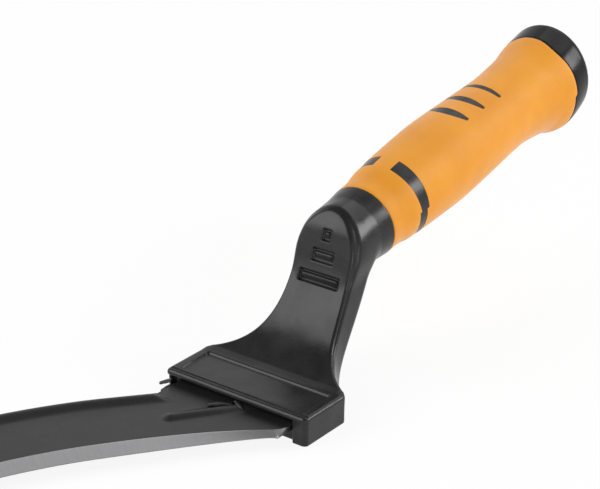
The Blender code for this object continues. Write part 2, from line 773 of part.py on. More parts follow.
def add_lands(body, cutters):
    """Raised lands of the core that fill the grip's windows."""
    skin = make_cutter(grip_form("land_skin", BAND_START / 2, GRIP_LENGTH - BAND_START,
                                 LAND_SINK, cutters))
    for land in grip_windows("land", GAP, cutters):
        combine(land, skin, "INTERSECT")
        combine(body, land, "UNION")


def blade_slot(cutters):
    """Room for the blade root, open at the head's face."""
    corners = root_corners()
    rear_left, rear_right = corners["rear"]
    face_left, face_right = corners["face"]
    ahead = HEAD_FRONT - HEEL_LENGTH / 2
    outline = [(rear_left.x - GAP, rear_left.y + GAP), (rear_right.x + GAP, rear_right.y + GAP),
               (face_right.x + GAP * 1.2, HEAD_FRONT), (face_right.x + GAP * 1.2, ahead),
               (face_left.x - GAP * 1.2, ahead), (face_left.x - GAP * 1.2, HEAD_FRONT)]
    return make_cutter(prism("blade_slot", outline, BLADE_BOTTOM - GAP, BLADE_TOP + GAP, cutters))


def face_frame(distance):
    """Place on the neck's face, its upward way and its outward normal."""
    points, sweep_length, full_length = neck_line()
    wanted = sweep_length + distance
    k = max(i for i in range(len(points) - 1) if points[i][0] <= wanted)
    near, far = points[k], points[k + 1]
    t = (wanted - near[0]) / (far[0] - near[0])
    y, z, slope = (near[i] + (far[i] - near[i]) * t for i in (1, 2, 3))
    up = Vector((0.0, math.cos(slope), math.sin(slope)))
    out = Vector((0.0, -math.sin(slope), math.cos(slope)))
    return Vector((0.0, y, z)), up, out


def mark_cutter(name, distance, length, width, cutters):
    """Sunk oblong on the neck's face."""
    place, up, out = face_frame(distance)
    rings = []
    for depth in (-MARK_DEPTH, NECK_FACE_PROUD):
        rings.append([place + RIGHT * (length / 2 * x) + up * (width / 2 * y) + out * depth
                      for x, y in ((-1, -1), (1, -1), (1, 1), (-1, 1))])
    return make_cutter(loft(name, rings, cutters))


def make_body(parts, cutters, surface):
    body = core_form(parts)
    head = head_form(cutters)
    neck = loft("neck_form", [neck_root_ring()] + neck_rings(), cutters)
    combine(body, make_cutter(neck), "UNION")
    combine(body, make_cutter(head), "UNION")
    add_lands(body, cutters)
    combine(body, blade_slot(cutters), "DIFFERENCE")
    combine(body, make_cutter(loft("rib_slot", rib_rings(GAP), cutters)), "DIFFERENCE")
    combine(body, make_cutter(tang_form("tang_slot", GAP, cutters)), "DIFFERENCE")
    for name, y in zip(("front", "rear"), RIVET_Y):
        pocket = make_cutter(rivet_shape(f"rivet_pocket_{name}", y, GAP, cutters))
        combine(body, pocket, "DIFFERENCE")
    panel = block("panel_recess",
                  (-HEAD_LENGTH / 2 + PANEL_BORDER_SIDE, HEAD_FRONT + PANEL_BORDER_FRONT,
                   HEAD_HEIGHT - PANEL_SINK),
                  (HEAD_LENGTH / 2 - PANEL_BORDER_SIDE, HEAD_REAR - PANEL_BORDER_REAR,
                   HEAD_HEIGHT + PANEL_SINK), cutters)
    combine(body, make_cutter(panel), "DIFFERENCE")
    bore_ring_start = handle_ring(BORE_START, BORE_DIAMETER / 2, BORE_DIAMETER / 2, 0.0)
    bore_ring_end = handle_ring(GRIP_LENGTH + CAP_LENGTH, BORE_DIAMETER / 2, BORE_DIAMETER / 2, 0.0)
    bore = make_cutter(loft("core_bore", [bore_ring_start, bore_ring_end], cutters))
    combine(body, bore, "DIFFERENCE")
    marks = (("long_bar", BAR_LENGTH, BAR_WIDTH),
             ("short_bar", SHORT_BAR_LENGTH, SHORT_BAR_WIDTH), ("pip", PIP_SIZE, PIP_SIZE))
    for i, (name, length, width) in enumerate(marks):
        cutter = mark_cutter(name, MARK_START + MARK_PITCH * i, length, width, cutters)
        combine(body, cutter, "DIFFERENCE")
    finish_part(body, surface)


# Butt cap


def make_cap(parts, cutters, surface):
    start = GRIP_LENGTH + GAP
    end = GRIP_LENGTH + CAP_LENGTH
    rings = [grip_ring(place, 0.0) for place in spread(start, end - CAP_RIM_RADIUS, LOFT_STEP)]
    for i in range(1, 5):
        angle = math.pi / 2 * i / 4
        inset = CAP_RIM_RADIUS * (1 - math.cos(angle))
        rings.append(grip_ring(end - CAP_RIM_RADIUS * (1 - math.sin(angle)), inset))
    cap = loft("butt_cap", rings, parts)
    radius = BORE_DIAMETER / 2 - GAP
    plug_rings = [handle_ring(GRIP_LENGTH - PLUG_LENGTH, radius, radius, 0.0),
                  handle_ring(GRIP_LENGTH + CAP_LENGTH / 2, radius, radius, 0.0)]
    plug = make_cutter(loft("cap_plug", plug_rings, cutters))
    combine(cap, plug, "UNION")
    hollow_radius = radius - PLUG_WALL
    hollow_rings = [handle_ring(GRIP_LENGTH - PLUG_LENGTH * 1.5, hollow_radius, hollow_radius, 0.0),
                    handle_ring(GRIP_LENGTH + CAP_LENGTH / 2, hollow_radius, hollow_radius, 0.0)]
    hollow = make_cutter(loft("plug_hollow", hollow_rings, cutters))
    combine(cap, hollow, "DIFFERENCE")
    finish_part(cap, surface)


def main():
    clear_scene()
    parts = new_collection("sickle")
    cutters = new_collection("sickle_cutters")
    black_plastic = material("black_plastic", (0.028, 0.028, 0.029), 0.38)
    orange_rubber = material("orange_rubber", (0.78, 0.33, 0.045), 0.6)
    cap_plastic = material("cap_plastic", (0.02, 0.02, 0.021), 0.35)
    painted_steel = material("painted_steel", (0.05, 0.05, 0.052), 0.35, 0.3)
    tang_steel = material("tang_steel", (0.42, 0.42, 0.44), 0.45, 1.0)
    rivet_steel = material("rivet_steel", (0.55, 0.55, 0.57), 0.35, 1.0)
    make_blade(parts, cutters, painted_steel)
    make_tang(parts, cutters, tang_steel, rivet_steel)
    make_body(parts, cutters, black_plastic)
    make_grip(parts, cutters, orange_rubber)
    make_cap(parts, cutters, cap_plastic)


main()
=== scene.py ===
"""Garden sickle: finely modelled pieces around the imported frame, with materials, light and camera.

Lengths are in millimetres until a mesh is made, apart from those of the floor, the lamps and the camera.
The axes are the CAD model's own: +X right, +Y to the butt, +Z up.
"""
import math

import bmesh
import bpy
import numpy as np
from mathutils import Matrix, Vector


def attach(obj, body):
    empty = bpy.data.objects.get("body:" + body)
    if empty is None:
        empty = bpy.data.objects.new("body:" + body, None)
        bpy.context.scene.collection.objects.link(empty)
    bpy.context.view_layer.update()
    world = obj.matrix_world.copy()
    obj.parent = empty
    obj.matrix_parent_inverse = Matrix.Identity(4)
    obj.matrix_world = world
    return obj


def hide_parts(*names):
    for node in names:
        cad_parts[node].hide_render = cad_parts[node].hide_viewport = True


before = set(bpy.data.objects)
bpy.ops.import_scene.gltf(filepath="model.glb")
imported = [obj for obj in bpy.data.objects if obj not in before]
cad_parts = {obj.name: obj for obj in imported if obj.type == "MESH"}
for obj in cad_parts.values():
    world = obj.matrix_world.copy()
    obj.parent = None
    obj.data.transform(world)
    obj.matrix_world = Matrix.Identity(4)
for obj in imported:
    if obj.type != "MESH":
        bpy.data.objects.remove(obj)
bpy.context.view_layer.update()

MM = 0.001

# Head block, its sunk panel, the crease before the panel and the lip over the blade's root
HEAD_LENGTH, HEAD_DEPTH, HEAD_HEIGHT = 62.2, 23.4, 10.8
HEAD_FRONT, HEAD_REAR = -HEAD_DEPTH / 2, HEAD_DEPTH / 2
HEAD_EDGE_RADIUS, HEAD_CORNER_RADIUS, HEAD_FOOT_RADIUS = 1.5, 1.8, 0.35
PANEL = (-27.1, 27.1, -8.0, 7.2)
PANEL_DEPTH, PANEL_CORNER, PANEL_SOFTNESS = 0.85, 1.0, 0.7
CREASE_PLACE, CREASE_RISE, CREASE_RADIUS, CREASE_SOFTNESS = 1.9, 0.15, 0.5, 0.35
LIP_OVERHANG, LIP_HEIGHT, LIP_RIGHT_END, LIP_SOFTNESS = 1.7, 2.3, 25.2, 0.6
HOLLOW_DEPTH, HOLLOW_DROP, HOLLOW_FLOOR, HOLLOW_LEFT_WALL = 3.4, 0.3, 4.3, 1.4
SLOT_CLEARANCE, SLOT_MIDDLE, SLOT_HALF_HEIGHT, SLOT_DEPTH, SLOT_SOFTNESS = 0.35, 5.4, 1.3, 4.0, 0.4

# Axis of the grip, and the collar before it
TILT = math.radians(9.8)
AXIS_START = np.array((0.0, 63.2, 49.7))
AXIS = np.array((0.0, math.cos(TILT), math.sin(TILT)))
AXIS_UP = np.array((0.0, -math.sin(TILT), math.cos(TILT)))
RIGHT = np.array((1.0, 0.0, 0.0))
COLLAR_RADIUS, COLLAR_LENGTH = 14.35, 21.5
COLLAR_WAIST_RADIUS, COLLAR_FLARE_LENGTH = 13.6, 7.0
COLLAR_NOSE_LENGTH, COLLAR_NOSE_DROP = 9.0, 1.0
COLLAR_NOSE_RADIUS, COLLAR_END_RADIUS, COLLAR_FILLET = 1.5, 0.2, 4.0

# Neck: a face that sweeps up from the head, runs straight and turns over a crown
NECK_HALF_WIDTH = 12.3
NECK_FOOT_THICKNESS, NECK_TOP_THICKNESS, NECK_THICKENING = 13.7, 15.5, 4.0
NECK_FLARE, FLARE_NARROWING = 9.6, 0.2
NECK_BACK_RADIUS, NECK_FOOT_FILLET = 4.0, 1.6
NECK_LOW, NECK_LOW_RADIUS, NECK_IN_HEAD = 1.0, 1.0, 3.0
FACE_EDGE_RADIUS, CROWN_EDGE_GROWTH = 1.2, 0.6
FACE_SLOPE = math.radians(74.0)
FACE_START_RISE, FACE_TURN_DROP, FACE_STRAIGHT = 0.8, 3.0, 9.7
CROWN_RADIUS, CROWN_TURN, ARCH_DROP = 16.0, math.radians(36.0), 2.1
GROOVE_DEPTH, GROOVE_PLACE, GROOVE_REACH = 0.8, 1.95, 0.62
GROOVE_START, GROOVE_FULL = 2.0, 9.0
GROOVE_FADE_START, GROOVE_FADE_END = 2.0, 13.0

# Marks sunk in the face, by place past the sweep, half length and half width, and the ridge in each
MARKS = ((-7.0, 8.9, 2.3), (1.3, 4.9, 2.5), (9.1, 2.0, 2.3))
MARK_DEPTH, MARK_CORNER = 1.7, 0.7
MARK_RIDGE, MARK_CREST, MARK_FALL_LOW, MARK_FALL_HIGH = 1.4, 0.3, 2.3, 1.2

# Grip and butt cap, with the windows in the grip for the dark band and the crescents
GRIP_LENGTH, CAP_LENGTH, CAP_RIM = 121.3, 11.9, 3.0
GRIP_WALL, CORE_GAP, INLAY_INSET, INLAY_GAP = 2.8, 0.3, 0.12, 0.06
SEAM_DIP, SEAM_DIP_ANGLE, SEAM_DIP_REACH, SEAM_STEP = 1.3, 58.0, 20.0, 0.6
BUTT_OVAL = 0.09
GRIP_EDGE = ((0.08, 0.3), (0.16, 0.1), (0.38, 0.0))
CAP_DISH_INSETS, CAP_DISH_SLOPE = (6.0, 9.0, 12.0, 15.0), 0.03
FINE_SEGMENTS, COARSE_SEGMENTS = 160, 64
BAND_FRONT_UNDER, BAND_REAR_UNDER, BAND_REAR = 14.8, 19.0, 20.1
BAND_FRONT_ANGLES, BAND_FRONT_PLACES = (0.0, 20.0, 60.0, 90.0), (15.7, 15.0, 14.1, 14.0)
BAND_HALF_GAP, BAND_STEP = 13.5, 3.0
BAND_DEEP, BAND_PROUD = 10.5, 22.0
CRESCENTS = ((60.0, 4.7), (71.2, 3.9), (82.6, 2.9))
CRESCENT_REACH, CRESCENT_END, CRESCENT_ROUNDNESS = 8.6, 1.6, 2.2
CRESCENT_DEEP, CRESCENT_PROUD = 9.0, 24.0

# Blade: a crescent of three arcs, each a length and a radius, and the root that leads to it
BLADE_LOW, BLADE_HIGH = 4.4, 6.4
EDGE_DROP = 1.7
BLADE_WIDTH, BLADE_TIP_WIDTH = 37.8, 1.6
BLADE_START = np.array((-28.8, HEAD_FRONT - 42.0))
BLADE_HEADING = math.radians(233.8)
BLADE_ARCS = ((55.0, 196.0), (105.0, 152.0), (104.0, 115.0))
BLADE_LENGTH = sum(length for length, radius in BLADE_ARCS)
TAPER_START, TAPER_POWER = 22.0, 1.8
BEVEL_WIDTH, BEVEL_HEEL_WIDTH, BEVEL_SHARE = 6.4, 2.7, 0.45
BEAD_WIDTH, BEAD_HEIGHT, BEAD_SHARE, BEAD_LEAN = 8.0, 1.6, 0.35, 0.85
ROOT_LEFT, ROOT_RIGHT = -26.4, 24.4
SPINE_HEEL_LENGTH, EDGE_HEEL_LENGTH = 9.6, 6.8
SPINE_BEND_SHARE, EDGE_BEND_SHARE, RIDGE_BEND_SHARE = 0.21, 0.975, 0.6
RIDGE_HEEL = np.array((21.6, HEAD_FRONT - 5.5))
RIDGE_INSET = 0.1
ROOT_OVERLAP, ROOT_STATIONS = 3.6, 3
MITRE_LIMIT = 0.6
UV_WIDTH = 0.04
RIB_PLACE, RIB_HEADING, RIB_LENGTH = 3.6, math.radians(233.4), 25.0
RIB_HALF_WIDTH, RIB_HEIGHT, RIB_POWER = 3.3, 1.3, 1.8

# Flash left by the mould where the blade enters the head: name, path, half widths and half thickness
FLASH = (
    ("flash_tongue", ((-0.4, -12.0, 7.0), (-3.9, -15.2, 7.1), (-6.7, -17.8, 6.8)),
     (1.5, 1.7, 1.6), 0.4),
    ("flash_spur", ((0.8, -11.4, 7.9), (3.4, -12.5, 7.4), (5.4, -13.2, 6.7)),
     (1.0, 0.9, 0.4), 0.6),
    ("flash_left_high", ((-28.0, -11.6, 7.0), (-30.8, -12.6, 5.8), (-32.5, -13.2, 4.9)),
     (1.5, 1.3, 0.5), 0.6),
    ("flash_left_low", ((-28.6, -11.4, 4.6), (-30.2, -12.6, 3.4), (-31.6, -13.6, 2.2)),
     (1.6, 1.2, 0.4), 0.6),
)

# Net of points over the moulding, and the reach of the slope that gives its normals
SKIN_LOW, SKIN_HIGH, SKIN_STEP = (-33.0, -13.6, -1.6), (33.0, 66.0, 68.0), 0.37
SLOPE_REACH, NORMAL_REACH = 0.02, 0.22

# Studio, in metres and watts: floor, sky by height, and each lamp's name, place, target, size and power
FLOOR_SIZE, FLOOR_DROP, FLOOR_TONE, FLOOR_GLOW = 4.0, 0.0004, 0.92, 0.9
SKY_STOPS = ((0.0, 0.86), (0.5, 0.86), (0.64, 0.62), (0.76, 0.2), (0.9, 0.16))
SKY_LEAN = -0.35
LAMPS = (
    ("key_box", (-0.64, -0.69, 0.61), (0.0, 0.03, 0.04), (0.8, 0.8), 8.1),
    ("edge_box", (0.98, -0.68, 0.16), (0.0, 0.02, 0.04), (0.14, 0.42), 1.6),
    ("back_box", (0.76, 0.69, 0.54), (0.0, 0.05, 0.05), (0.38, 0.42), 5.4),
    ("top_box", (0.06, 0.68, 0.98), (0.0, 0.06, 0.04), (1.0, 0.42), 1.7),
)

# Camera fitted to the photograph: place, azimuth, elevation and roll in degrees, lens and sensor
CAMERA_PLACE = (0.3854, -0.4836, 0.3365)
CAMERA_ANGLES = (37.1, 23.9, 0.3)
CAMERA_LENS, CAMERA_SENSOR = 120.0, 36.0
CAMERA_SHIFT = (-0.0009, 0.0014)


def smooth(low, high, value):
    """Smooth step from 0 at low to 1 at high, which may lie below low."""
    t = np.clip((value - low) / (high - low), 0.0, 1.0)
    return t * t * (3.0 - 2.0 * t)


# Materials


def new_material(name):
    """Empty node material, its tree and its shader."""
    made = bpy.data.materials.new(name)
    made.use_nodes = True
    tree = made.node_tree
    return made, tree, tree.nodes["Principled BSDF"]


def noise(tree, scale, detail=3.0, stretch=None, rough=0.5):
    """Noise on the object's own coordinates, stretched if asked. Returns its factor."""
    place = tree.nodes.new("ShaderNodeTexCoord").outputs["Object"]
    if stretch:
        fit = tree.nodes.new("ShaderNodeMapping")
        fit.inputs["Scale"].default_value = stretch
        tree.links.new(place, fit.inputs["Vector"])
        place = fit.outputs["Vector"]
    made = tree.nodes.new("ShaderNodeTexNoise")
    made.inputs["Scale"].default_value = scale
    made.inputs["Detail"].default_value = detail
    made.inputs["Roughness"].default_value = rough
    tree.links.new(place, made.inputs["Vector"])
    return made.outputs["Fac"]


def ramp(tree, factor, stops):
    """Colour ramp through (place, colour) stops; a colour may be one number."""
    made = tree.nodes.new("ShaderNodeValToRGB")
    elements = made.color_ramp.elements
    while len(elements) < len(stops):
        elements.new(0.5)
    for element, (place, colour) in zip(elements, stops):
        element.position = place
        element.color = (*(colour if hasattr(colour, "__len__") else (colour,) * 3), 1.0)
    tree.links.new(factor, made.inputs["Fac"])
    return made.outputs["Color"]


def tinted(colour, share):
    """The colour times a number."""
    return tuple(c * share for c in colour)


def bump(tree, height, distance, base=None):
    """Bump of a height in millimetres, over another normal if given. Returns the normal."""
    made = tree.nodes.new("ShaderNodeBump")
    made.inputs["Distance"].default_value = distance * MM
    made.inputs["Strength"].default_value = 1.0
    tree.links.new(height, made.inputs["Height"])
    if base is not None:
        tree.links.new(base, made.inputs["Normal"])
    return made.outputs["Normal"]


def plastic_material(name, colour, roughness, waviness, grain, gloss_level):
    """Moulded black plastic: sink marks that bend its reflections, fine grain and light scuffs."""
    made, tree, shader = new_material(name)
    mottle = noise(tree, 160.0, 4.0)
    tones = ((0.3, tinted(colour, 0.82)), (0.7, tinted(colour, 1.25)))
    tree.links.new(ramp(tree, mottle, tones), shader.inputs["Base Color"])
    patches = noise(tree, 90.0, 5.0, rough=0.65)
    gloss = ramp(tree, patches, ((0.32, roughness - 0.05), (0.72, roughness + 0.08)))
    tree.links.new(gloss, shader.inputs["Roughness"])
    sink = bump(tree, noise(tree, 75.0, 1.0), waviness)
    fine = bump(tree, noise(tree, 2600.0, 2.0), grain, sink)
    tree.links.new(fine, shader.inputs["Normal"])
    shader.inputs["Specular IOR Level"].default_value = gloss_level
    return made


def rubber_material(name, colour):
    """Soft grip: matt orange with a faint sheen, fine grain and handling marks."""
    made, tree, shader = new_material(name)
    mottle = noise(tree, 55.0, 5.0, rough=0.6)
    deep = (colour[0] * 0.94, colour[1] * 0.9, colour[2] * 0.8)
    pale = (min(colour[0] * 1.03, 1.0), colour[1] * 1.06, colour[2] * 1.3)
    tree.links.new(ramp(tree, mottle, ((0.3, deep), (0.7, pale))), shader.inputs["Base Color"])
    patches = noise(tree, 140.0, 4.0)
    tree.links.new(ramp(tree, patches, ((0.3, 0.5), (0.7, 0.62))), shader.inputs["Roughness"])
    soft = bump(tree, noise(tree, 110.0, 2.0), 0.05)
    fine = bump(tree, noise(tree, 3200.0, 2.0), 0.012, soft)
    tree.links.new(fine, shader.inputs["Normal"])
    shader.inputs["Specular IOR Level"].default_value = 0.3
    shader.inputs["Sheen Weight"].default_value = 0.3
    shader.inputs["Sheen Roughness"].default_value = 0.4
    return made


def paint_material(name):
    """Black paint on pressed steel: low gloss, faint orange peel and specks of wear."""
    made, tree, shader = new_material(name)
    specks = noise(tree, 900.0, 3.0, rough=0.7)
    tones = ((0.0, (0.013, 0.013, 0.0135)), (0.66, (0.018, 0.018, 0.0185)), (0.78, (0.075, 0.075, 0.078)))
    tree.links.new(ramp(tree, specks, tones), shader.inputs["Base Color"])
    patches = noise(tree, 70.0, 5.0, rough=0.65)
    tree.links.new(ramp(tree, patches, ((0.3, 0.3), (0.72, 0.42))), shader.inputs["Roughness"])
    peel = bump(tree, noise(tree, 420.0, 2.0), 0.012)
    wave = bump(tree, noise(tree, 60.0, 1.0), 0.08, peel)
    tree.links.new(wave, shader.inputs["Normal"])
    shader.inputs["Specular IOR Level"].default_value = 0.33
    return made


def ground_material(name, tone, roughness):
    """Ground steel: bright, with the marks of the wheel running across the edge."""
    made, tree, shader = new_material(name)
    where = tree.nodes.new("ShaderNodeUVMap")
    where.uv_map = "along_across"
    fit = tree.nodes.new("ShaderNodeMapping")
    fit.inputs["Scale"].default_value = (2400.0, 90.0, 1.0)
    tree.links.new(where.outputs["UV"], fit.inputs["Vector"])
    lines = tree.nodes.new("ShaderNodeTexNoise")
    lines.inputs["Scale"].default_value = 1.0
    lines.inputs["Detail"].default_value = 5.0
    lines.inputs["Roughness"].default_value = 0.7
    tree.links.new(fit.outputs["Vector"], lines.inputs["Vector"])
    streaks = lines.outputs["Fac"]
    tones = ((0.25, tinted(tone, 0.85)), (0.75, tone))
    tree.links.new(ramp(tree, streaks, tones), shader.inputs["Base Color"])
    tree.links.new(ramp(tree, streaks, ((0.2, roughness + 0.14), (0.8, roughness - 0.08))),
                   shader.inputs["Roughness"])
    tree.links.new(bump(tree, streaks, 0.02), shader.inputs["Normal"])
    shader.inputs["Metallic"].default_value = 1.0
    return made


def steel_material(name, tone, roughness):
    """Plain rolled steel of the hidden tang and rivets."""
    made, tree, shader = new_material(name)
    lines = noise(tree, 300.0, 5.0, (1.0, 0.08, 1.0))
    tones = ((0.3, tinted(tone, 0.8)), (0.7, tone))
    tree.links.new(ramp(tree, lines, tones), shader.inputs["Base Color"])
    tree.links.new(ramp(tree, lines, ((0.3, roughness + 0.1), (0.7, roughness - 0.05))),
                   shader.inputs["Roughness"])
    tree.links.new(bump(tree, lines, 0.02), shader.inputs["Normal"])
    shader.inputs["Metallic"].default_value = 1.0
    return made


# Meshes


def make_piece(name, verts, faces, materials, slot, replaces, sharp=None, normals=None):
    """Smooth object from points in millimetres. With a slot it rides on the root body, else it's a cutter."""
    mesh = bpy.data.meshes.new(name)
    mesh.from_pydata([tuple(v) for v in np.asarray(verts, float) * MM], [], [tuple(f) for f in faces])
    mesh.validate()
    shape = bmesh.new()
    shape.from_mesh(mesh)
    bmesh.ops.recalc_face_normals(shape, faces=shape.faces)
    shape.to_mesh(mesh)
    shape.free()
    thing = bpy.data.objects.new(name, mesh)
    bpy.context.scene.collection.objects.link(thing)
    for surface in materials:
        mesh.materials.append(surface)
    mesh.shade_smooth()
    if sharp is not None:
        mesh.set_sharp_from_angle(angle=math.radians(sharp))
    if normals is not None:
        mesh.normals_split_custom_set_from_vertices(normals.tolist())
    if slot:
        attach(thing, "root")
        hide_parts(replaces)
    return thing


def loft_arrays(rings):
    """Points and faces of a closed skin through rings of equal length, both ends capped."""
    rings = np.asarray(rings, float)
    rows, count = rings.shape[:2]
    ids = np.arange(rows * count).reshape(rows, count)
    a = ids[:-1]
    b = np.roll(ids, -1, axis=1)[:-1]
    c = np.roll(ids, -1, axis=1)[1:]
    d = ids[1:]
    faces = np.stack((a, b, c, d), axis=-1).reshape(-1, 4).tolist()
    faces.append(ids[0][::-1].tolist())
    faces.append(ids[-1].tolist())
    return rings.reshape(-1, 3), faces


def cut(target, tool, operation):
    """Apply an exact Boolean at once and drop the tool."""
    step = target.modifiers.new("cut", "BOOLEAN")
    step.operation = operation
    step.solver = "EXACT"
    step.object = tool
    depsgraph = bpy.context.evaluated_depsgraph_get()
    result = bpy.data.meshes.new_from_object(target.evaluated_get(depsgraph))
    target.modifiers.clear()
    target.data = result
    bpy.data.objects.remove(tool, do_unlink=True)


# Skin of the moulding from a distance field


def round_max(a, b, radius):
    """Intersection of two distances with a rounded edge."""
    return (np.minimum(np.maximum(a + radius, b + radius), 0.0)
            + np.hypot(np.maximum(a + radius, 0.0), np.maximum(b + radius, 0.0)) - radius)


def smooth_min(a, b, reach):
    """Union of two distances with a fillet."""
    h = np.maximum(reach - np.abs(a - b), 0.0) / reach
    return np.minimum(a, b) - h * h * reach / 4


def soft_max(a, b, reach):
    """Intersection of two distances with a fillet."""
    return -smooth_min(-a, -b, reach)


NOSE = AXIS_START - AXIS * COLLAR_LENGTH
FACE_START = np.array((HEAD_REAR, HEAD_HEIGHT + FACE_START_RISE))
FACE_TURN = np.array((NOSE[1] - FACE_TURN_DROP, NOSE[2] - FACE_TURN_DROP))
CHORD = FACE_TURN - FACE_START
FIRST_SLOPE = 2 * math.atan2(CHORD[1], CHORD[0]) - FACE_SLOPE
SWEEP_RADIUS = math.hypot(*CHORD) / (2 * math.sin((FACE_SLOPE - FIRST_SLOPE) / 2))
SWEEP_LENGTH = SWEEP_RADIUS * (FACE_SLOPE - FIRST_SLOPE)
FACE_WAY = np.array((math.cos(FACE_SLOPE), math.sin(FACE_SLOPE)))
FACE_OUT = np.array((-math.sin(FACE_SLOPE), math.cos(FACE_SLOPE)))
FACE_TOP = FACE_TURN + FACE_WAY * FACE_STRAIGHT
CROWN_CENTRE = FACE_TOP - FACE_OUT * CROWN_RADIUS
CROWN_END = FACE_SLOPE - CROWN_TURN
ARCH_LOW = NOSE[2] - ARCH_DROP
ARCH_HIGH = CROWN_CENTRE[1] + CROWN_RADIUS * math.cos(CROWN_END)


def face_place(y, z):
    """Distance along the neck's face, depth behind it and the height of the face there."""
    start_out = np.array((-math.sin(FIRST_SLOPE), math.cos(FIRST_SLOPE)))
    start_way = np.array((math.cos(FIRST_SLOPE), math.sin(FIRST_SLOPE)))
    centre = FACE_START + start_out * SWEEP_RADIUS
    from_start = (y - FACE_START[0], z - FACE_START[1])
    s_before = from_start[0] * start_way[0] + from_start[1] * start_way[1]
    d_before = -(from_start[0] * start_out[0] + from_start[1] * start_out[1])
    sweep_y, sweep_z = y - centre[0], z - centre[1]
    slope = np.arctan2(sweep_y, -sweep_z)
    s_sweep = (slope - FIRST_SLOPE) * SWEEP_RADIUS
    d_sweep = np.hypot(sweep_y, sweep_z) - SWEEP_RADIUS
    z_sweep = centre[1] - SWEEP_RADIUS * np.cos(slope)
    run = (y - FACE_TURN[0]) * FACE_WAY[0] + (z - FACE_TURN[1]) * FACE_WAY[1]
    d_run = -((y - FACE_TURN[0]) * FACE_OUT[0] + (z - FACE_TURN[1]) * FACE_OUT[1])
    crown_y, crown_z = y - CROWN_CENTRE[0], z - CROWN_CENTRE[1]
    crown_slope = np.maximum(np.arctan2(-crown_y, crown_z), -0.2)
    s_crown = SWEEP_LENGTH + FACE_STRAIGHT + (FACE_SLOPE - crown_slope) * CROWN_RADIUS
    d_crown = CROWN_RADIUS - np.hypot(crown_y, crown_z)
    z_crown = CROWN_CENTRE[1] + CROWN_RADIUS * np.cos(np.maximum(crown_slope, 0.0))
    before = s_before < 0
    sweep = ~before & (run < 0)
    crown = run > FACE_STRAIGHT
    s = np.where(before, s_before, np.where(sweep, s_sweep, np.where(crown, s_crown, SWEEP_LENGTH + run)))
    d = np.where(before, d_before, np.where(sweep, d_sweep, np.where(crown, d_crown, d_run)))
    height = np.where(before, FACE_START[1], np.where(sweep, z_sweep,
                      np.where(crown, z_crown, FACE_TURN[1] + run * FACE_WAY[1])))
    return s, d, height


def rounded_box(x, y, half_x, half_y, radius):
    """Distance in a plane to a rectangle with rounded corners."""
    qx = np.abs(x) - half_x + radius
    qy = np.abs(y) - half_y + radius
    return np.hypot(np.maximum(qx, 0), np.maximum(qy, 0)) + np.minimum(np.maximum(qx, qy), 0) - radius


def mark_depth(x, s):
    """Sunk marks on the neck's face, each with a low ridge inside: two bars and a plain pip."""
    depth = 0.0
    for centre, half_length, half_width in MARKS:
        v = s - SWEEP_LENGTH - centre
        pocket = smooth(0.2, -0.75, rounded_box(x, v, half_length, half_width, MARK_CORNER))
        crest = MARK_CREST * half_width
        ridge = smooth(crest - MARK_FALL_LOW, crest, v) * smooth(crest + MARK_FALL_HIGH, crest, v)
        ends = smooth(half_length - 0.5, half_length - 1.4, np.abs(x))
        depth = depth + pocket * (MARK_DEPTH - MARK_RIDGE * ridge * ends)
    return depth


def neck_distance(x, y, z):
    """Distance to the neck, with its flared foot, side grooves, sunk marks and arched crown."""
    s, d, height = face_place(y, z)
    flare = (HEAD_LENGTH / 2 - HEAD_EDGE_RADIUS - NECK_HALF_WIDTH) * np.exp(-np.maximum(s, 0.0) / NECK_FLARE)
    growth = np.clip(s / SWEEP_LENGTH, 0, 1) ** NECK_THICKENING
    thickness = NECK_FOOT_THICKNESS + (NECK_TOP_THICKNESS - NECK_FOOT_THICKNESS) * growth
    behind = np.clip(d / thickness, 0, 1)
    width = NECK_HALF_WIDTH + flare * (1 - FLARE_NARROWING * behind)
    lean = 1 / np.sqrt(1 + (flare / NECK_FLARE) ** 2)
    straight = (np.abs(x) - width) * lean
    rise = np.clip((height - ARCH_LOW) / (ARCH_HIGH - ARCH_LOW), 0, 3)
    level = np.sqrt((x / width) ** 2 + rise**2)
    steep = np.sqrt((x / width**2) ** 2 + (rise * 0.9 / (ARCH_HIGH - ARCH_LOW)) ** 2)
    arch = (level - 1) * level / np.maximum(steep, 0.02)
    outline = np.where(rise > 0, arch, straight)
    fade = (smooth(GROOVE_START, GROOVE_FULL, s)
            * smooth(SWEEP_LENGTH + GROOVE_FADE_END, SWEEP_LENGTH + GROOVE_FADE_START, s))
    outline = outline + GROOVE_DEPTH * fade * np.exp(-((d - GROOVE_PLACE) / GROOVE_REACH) ** 2)
    face = mark_depth(x, s) - d
    edge_radius = FACE_EDGE_RADIUS + CROWN_EDGE_GROWTH * smooth(0.55, 1.05, rise)
    neck = round_max(outline, face, edge_radius)
    neck = round_max(neck, d - thickness, NECK_BACK_RADIUS)
    neck = round_max(neck, NECK_LOW - z, NECK_LOW_RADIUS)
    return np.maximum(neck, -NECK_IN_HEAD - s)


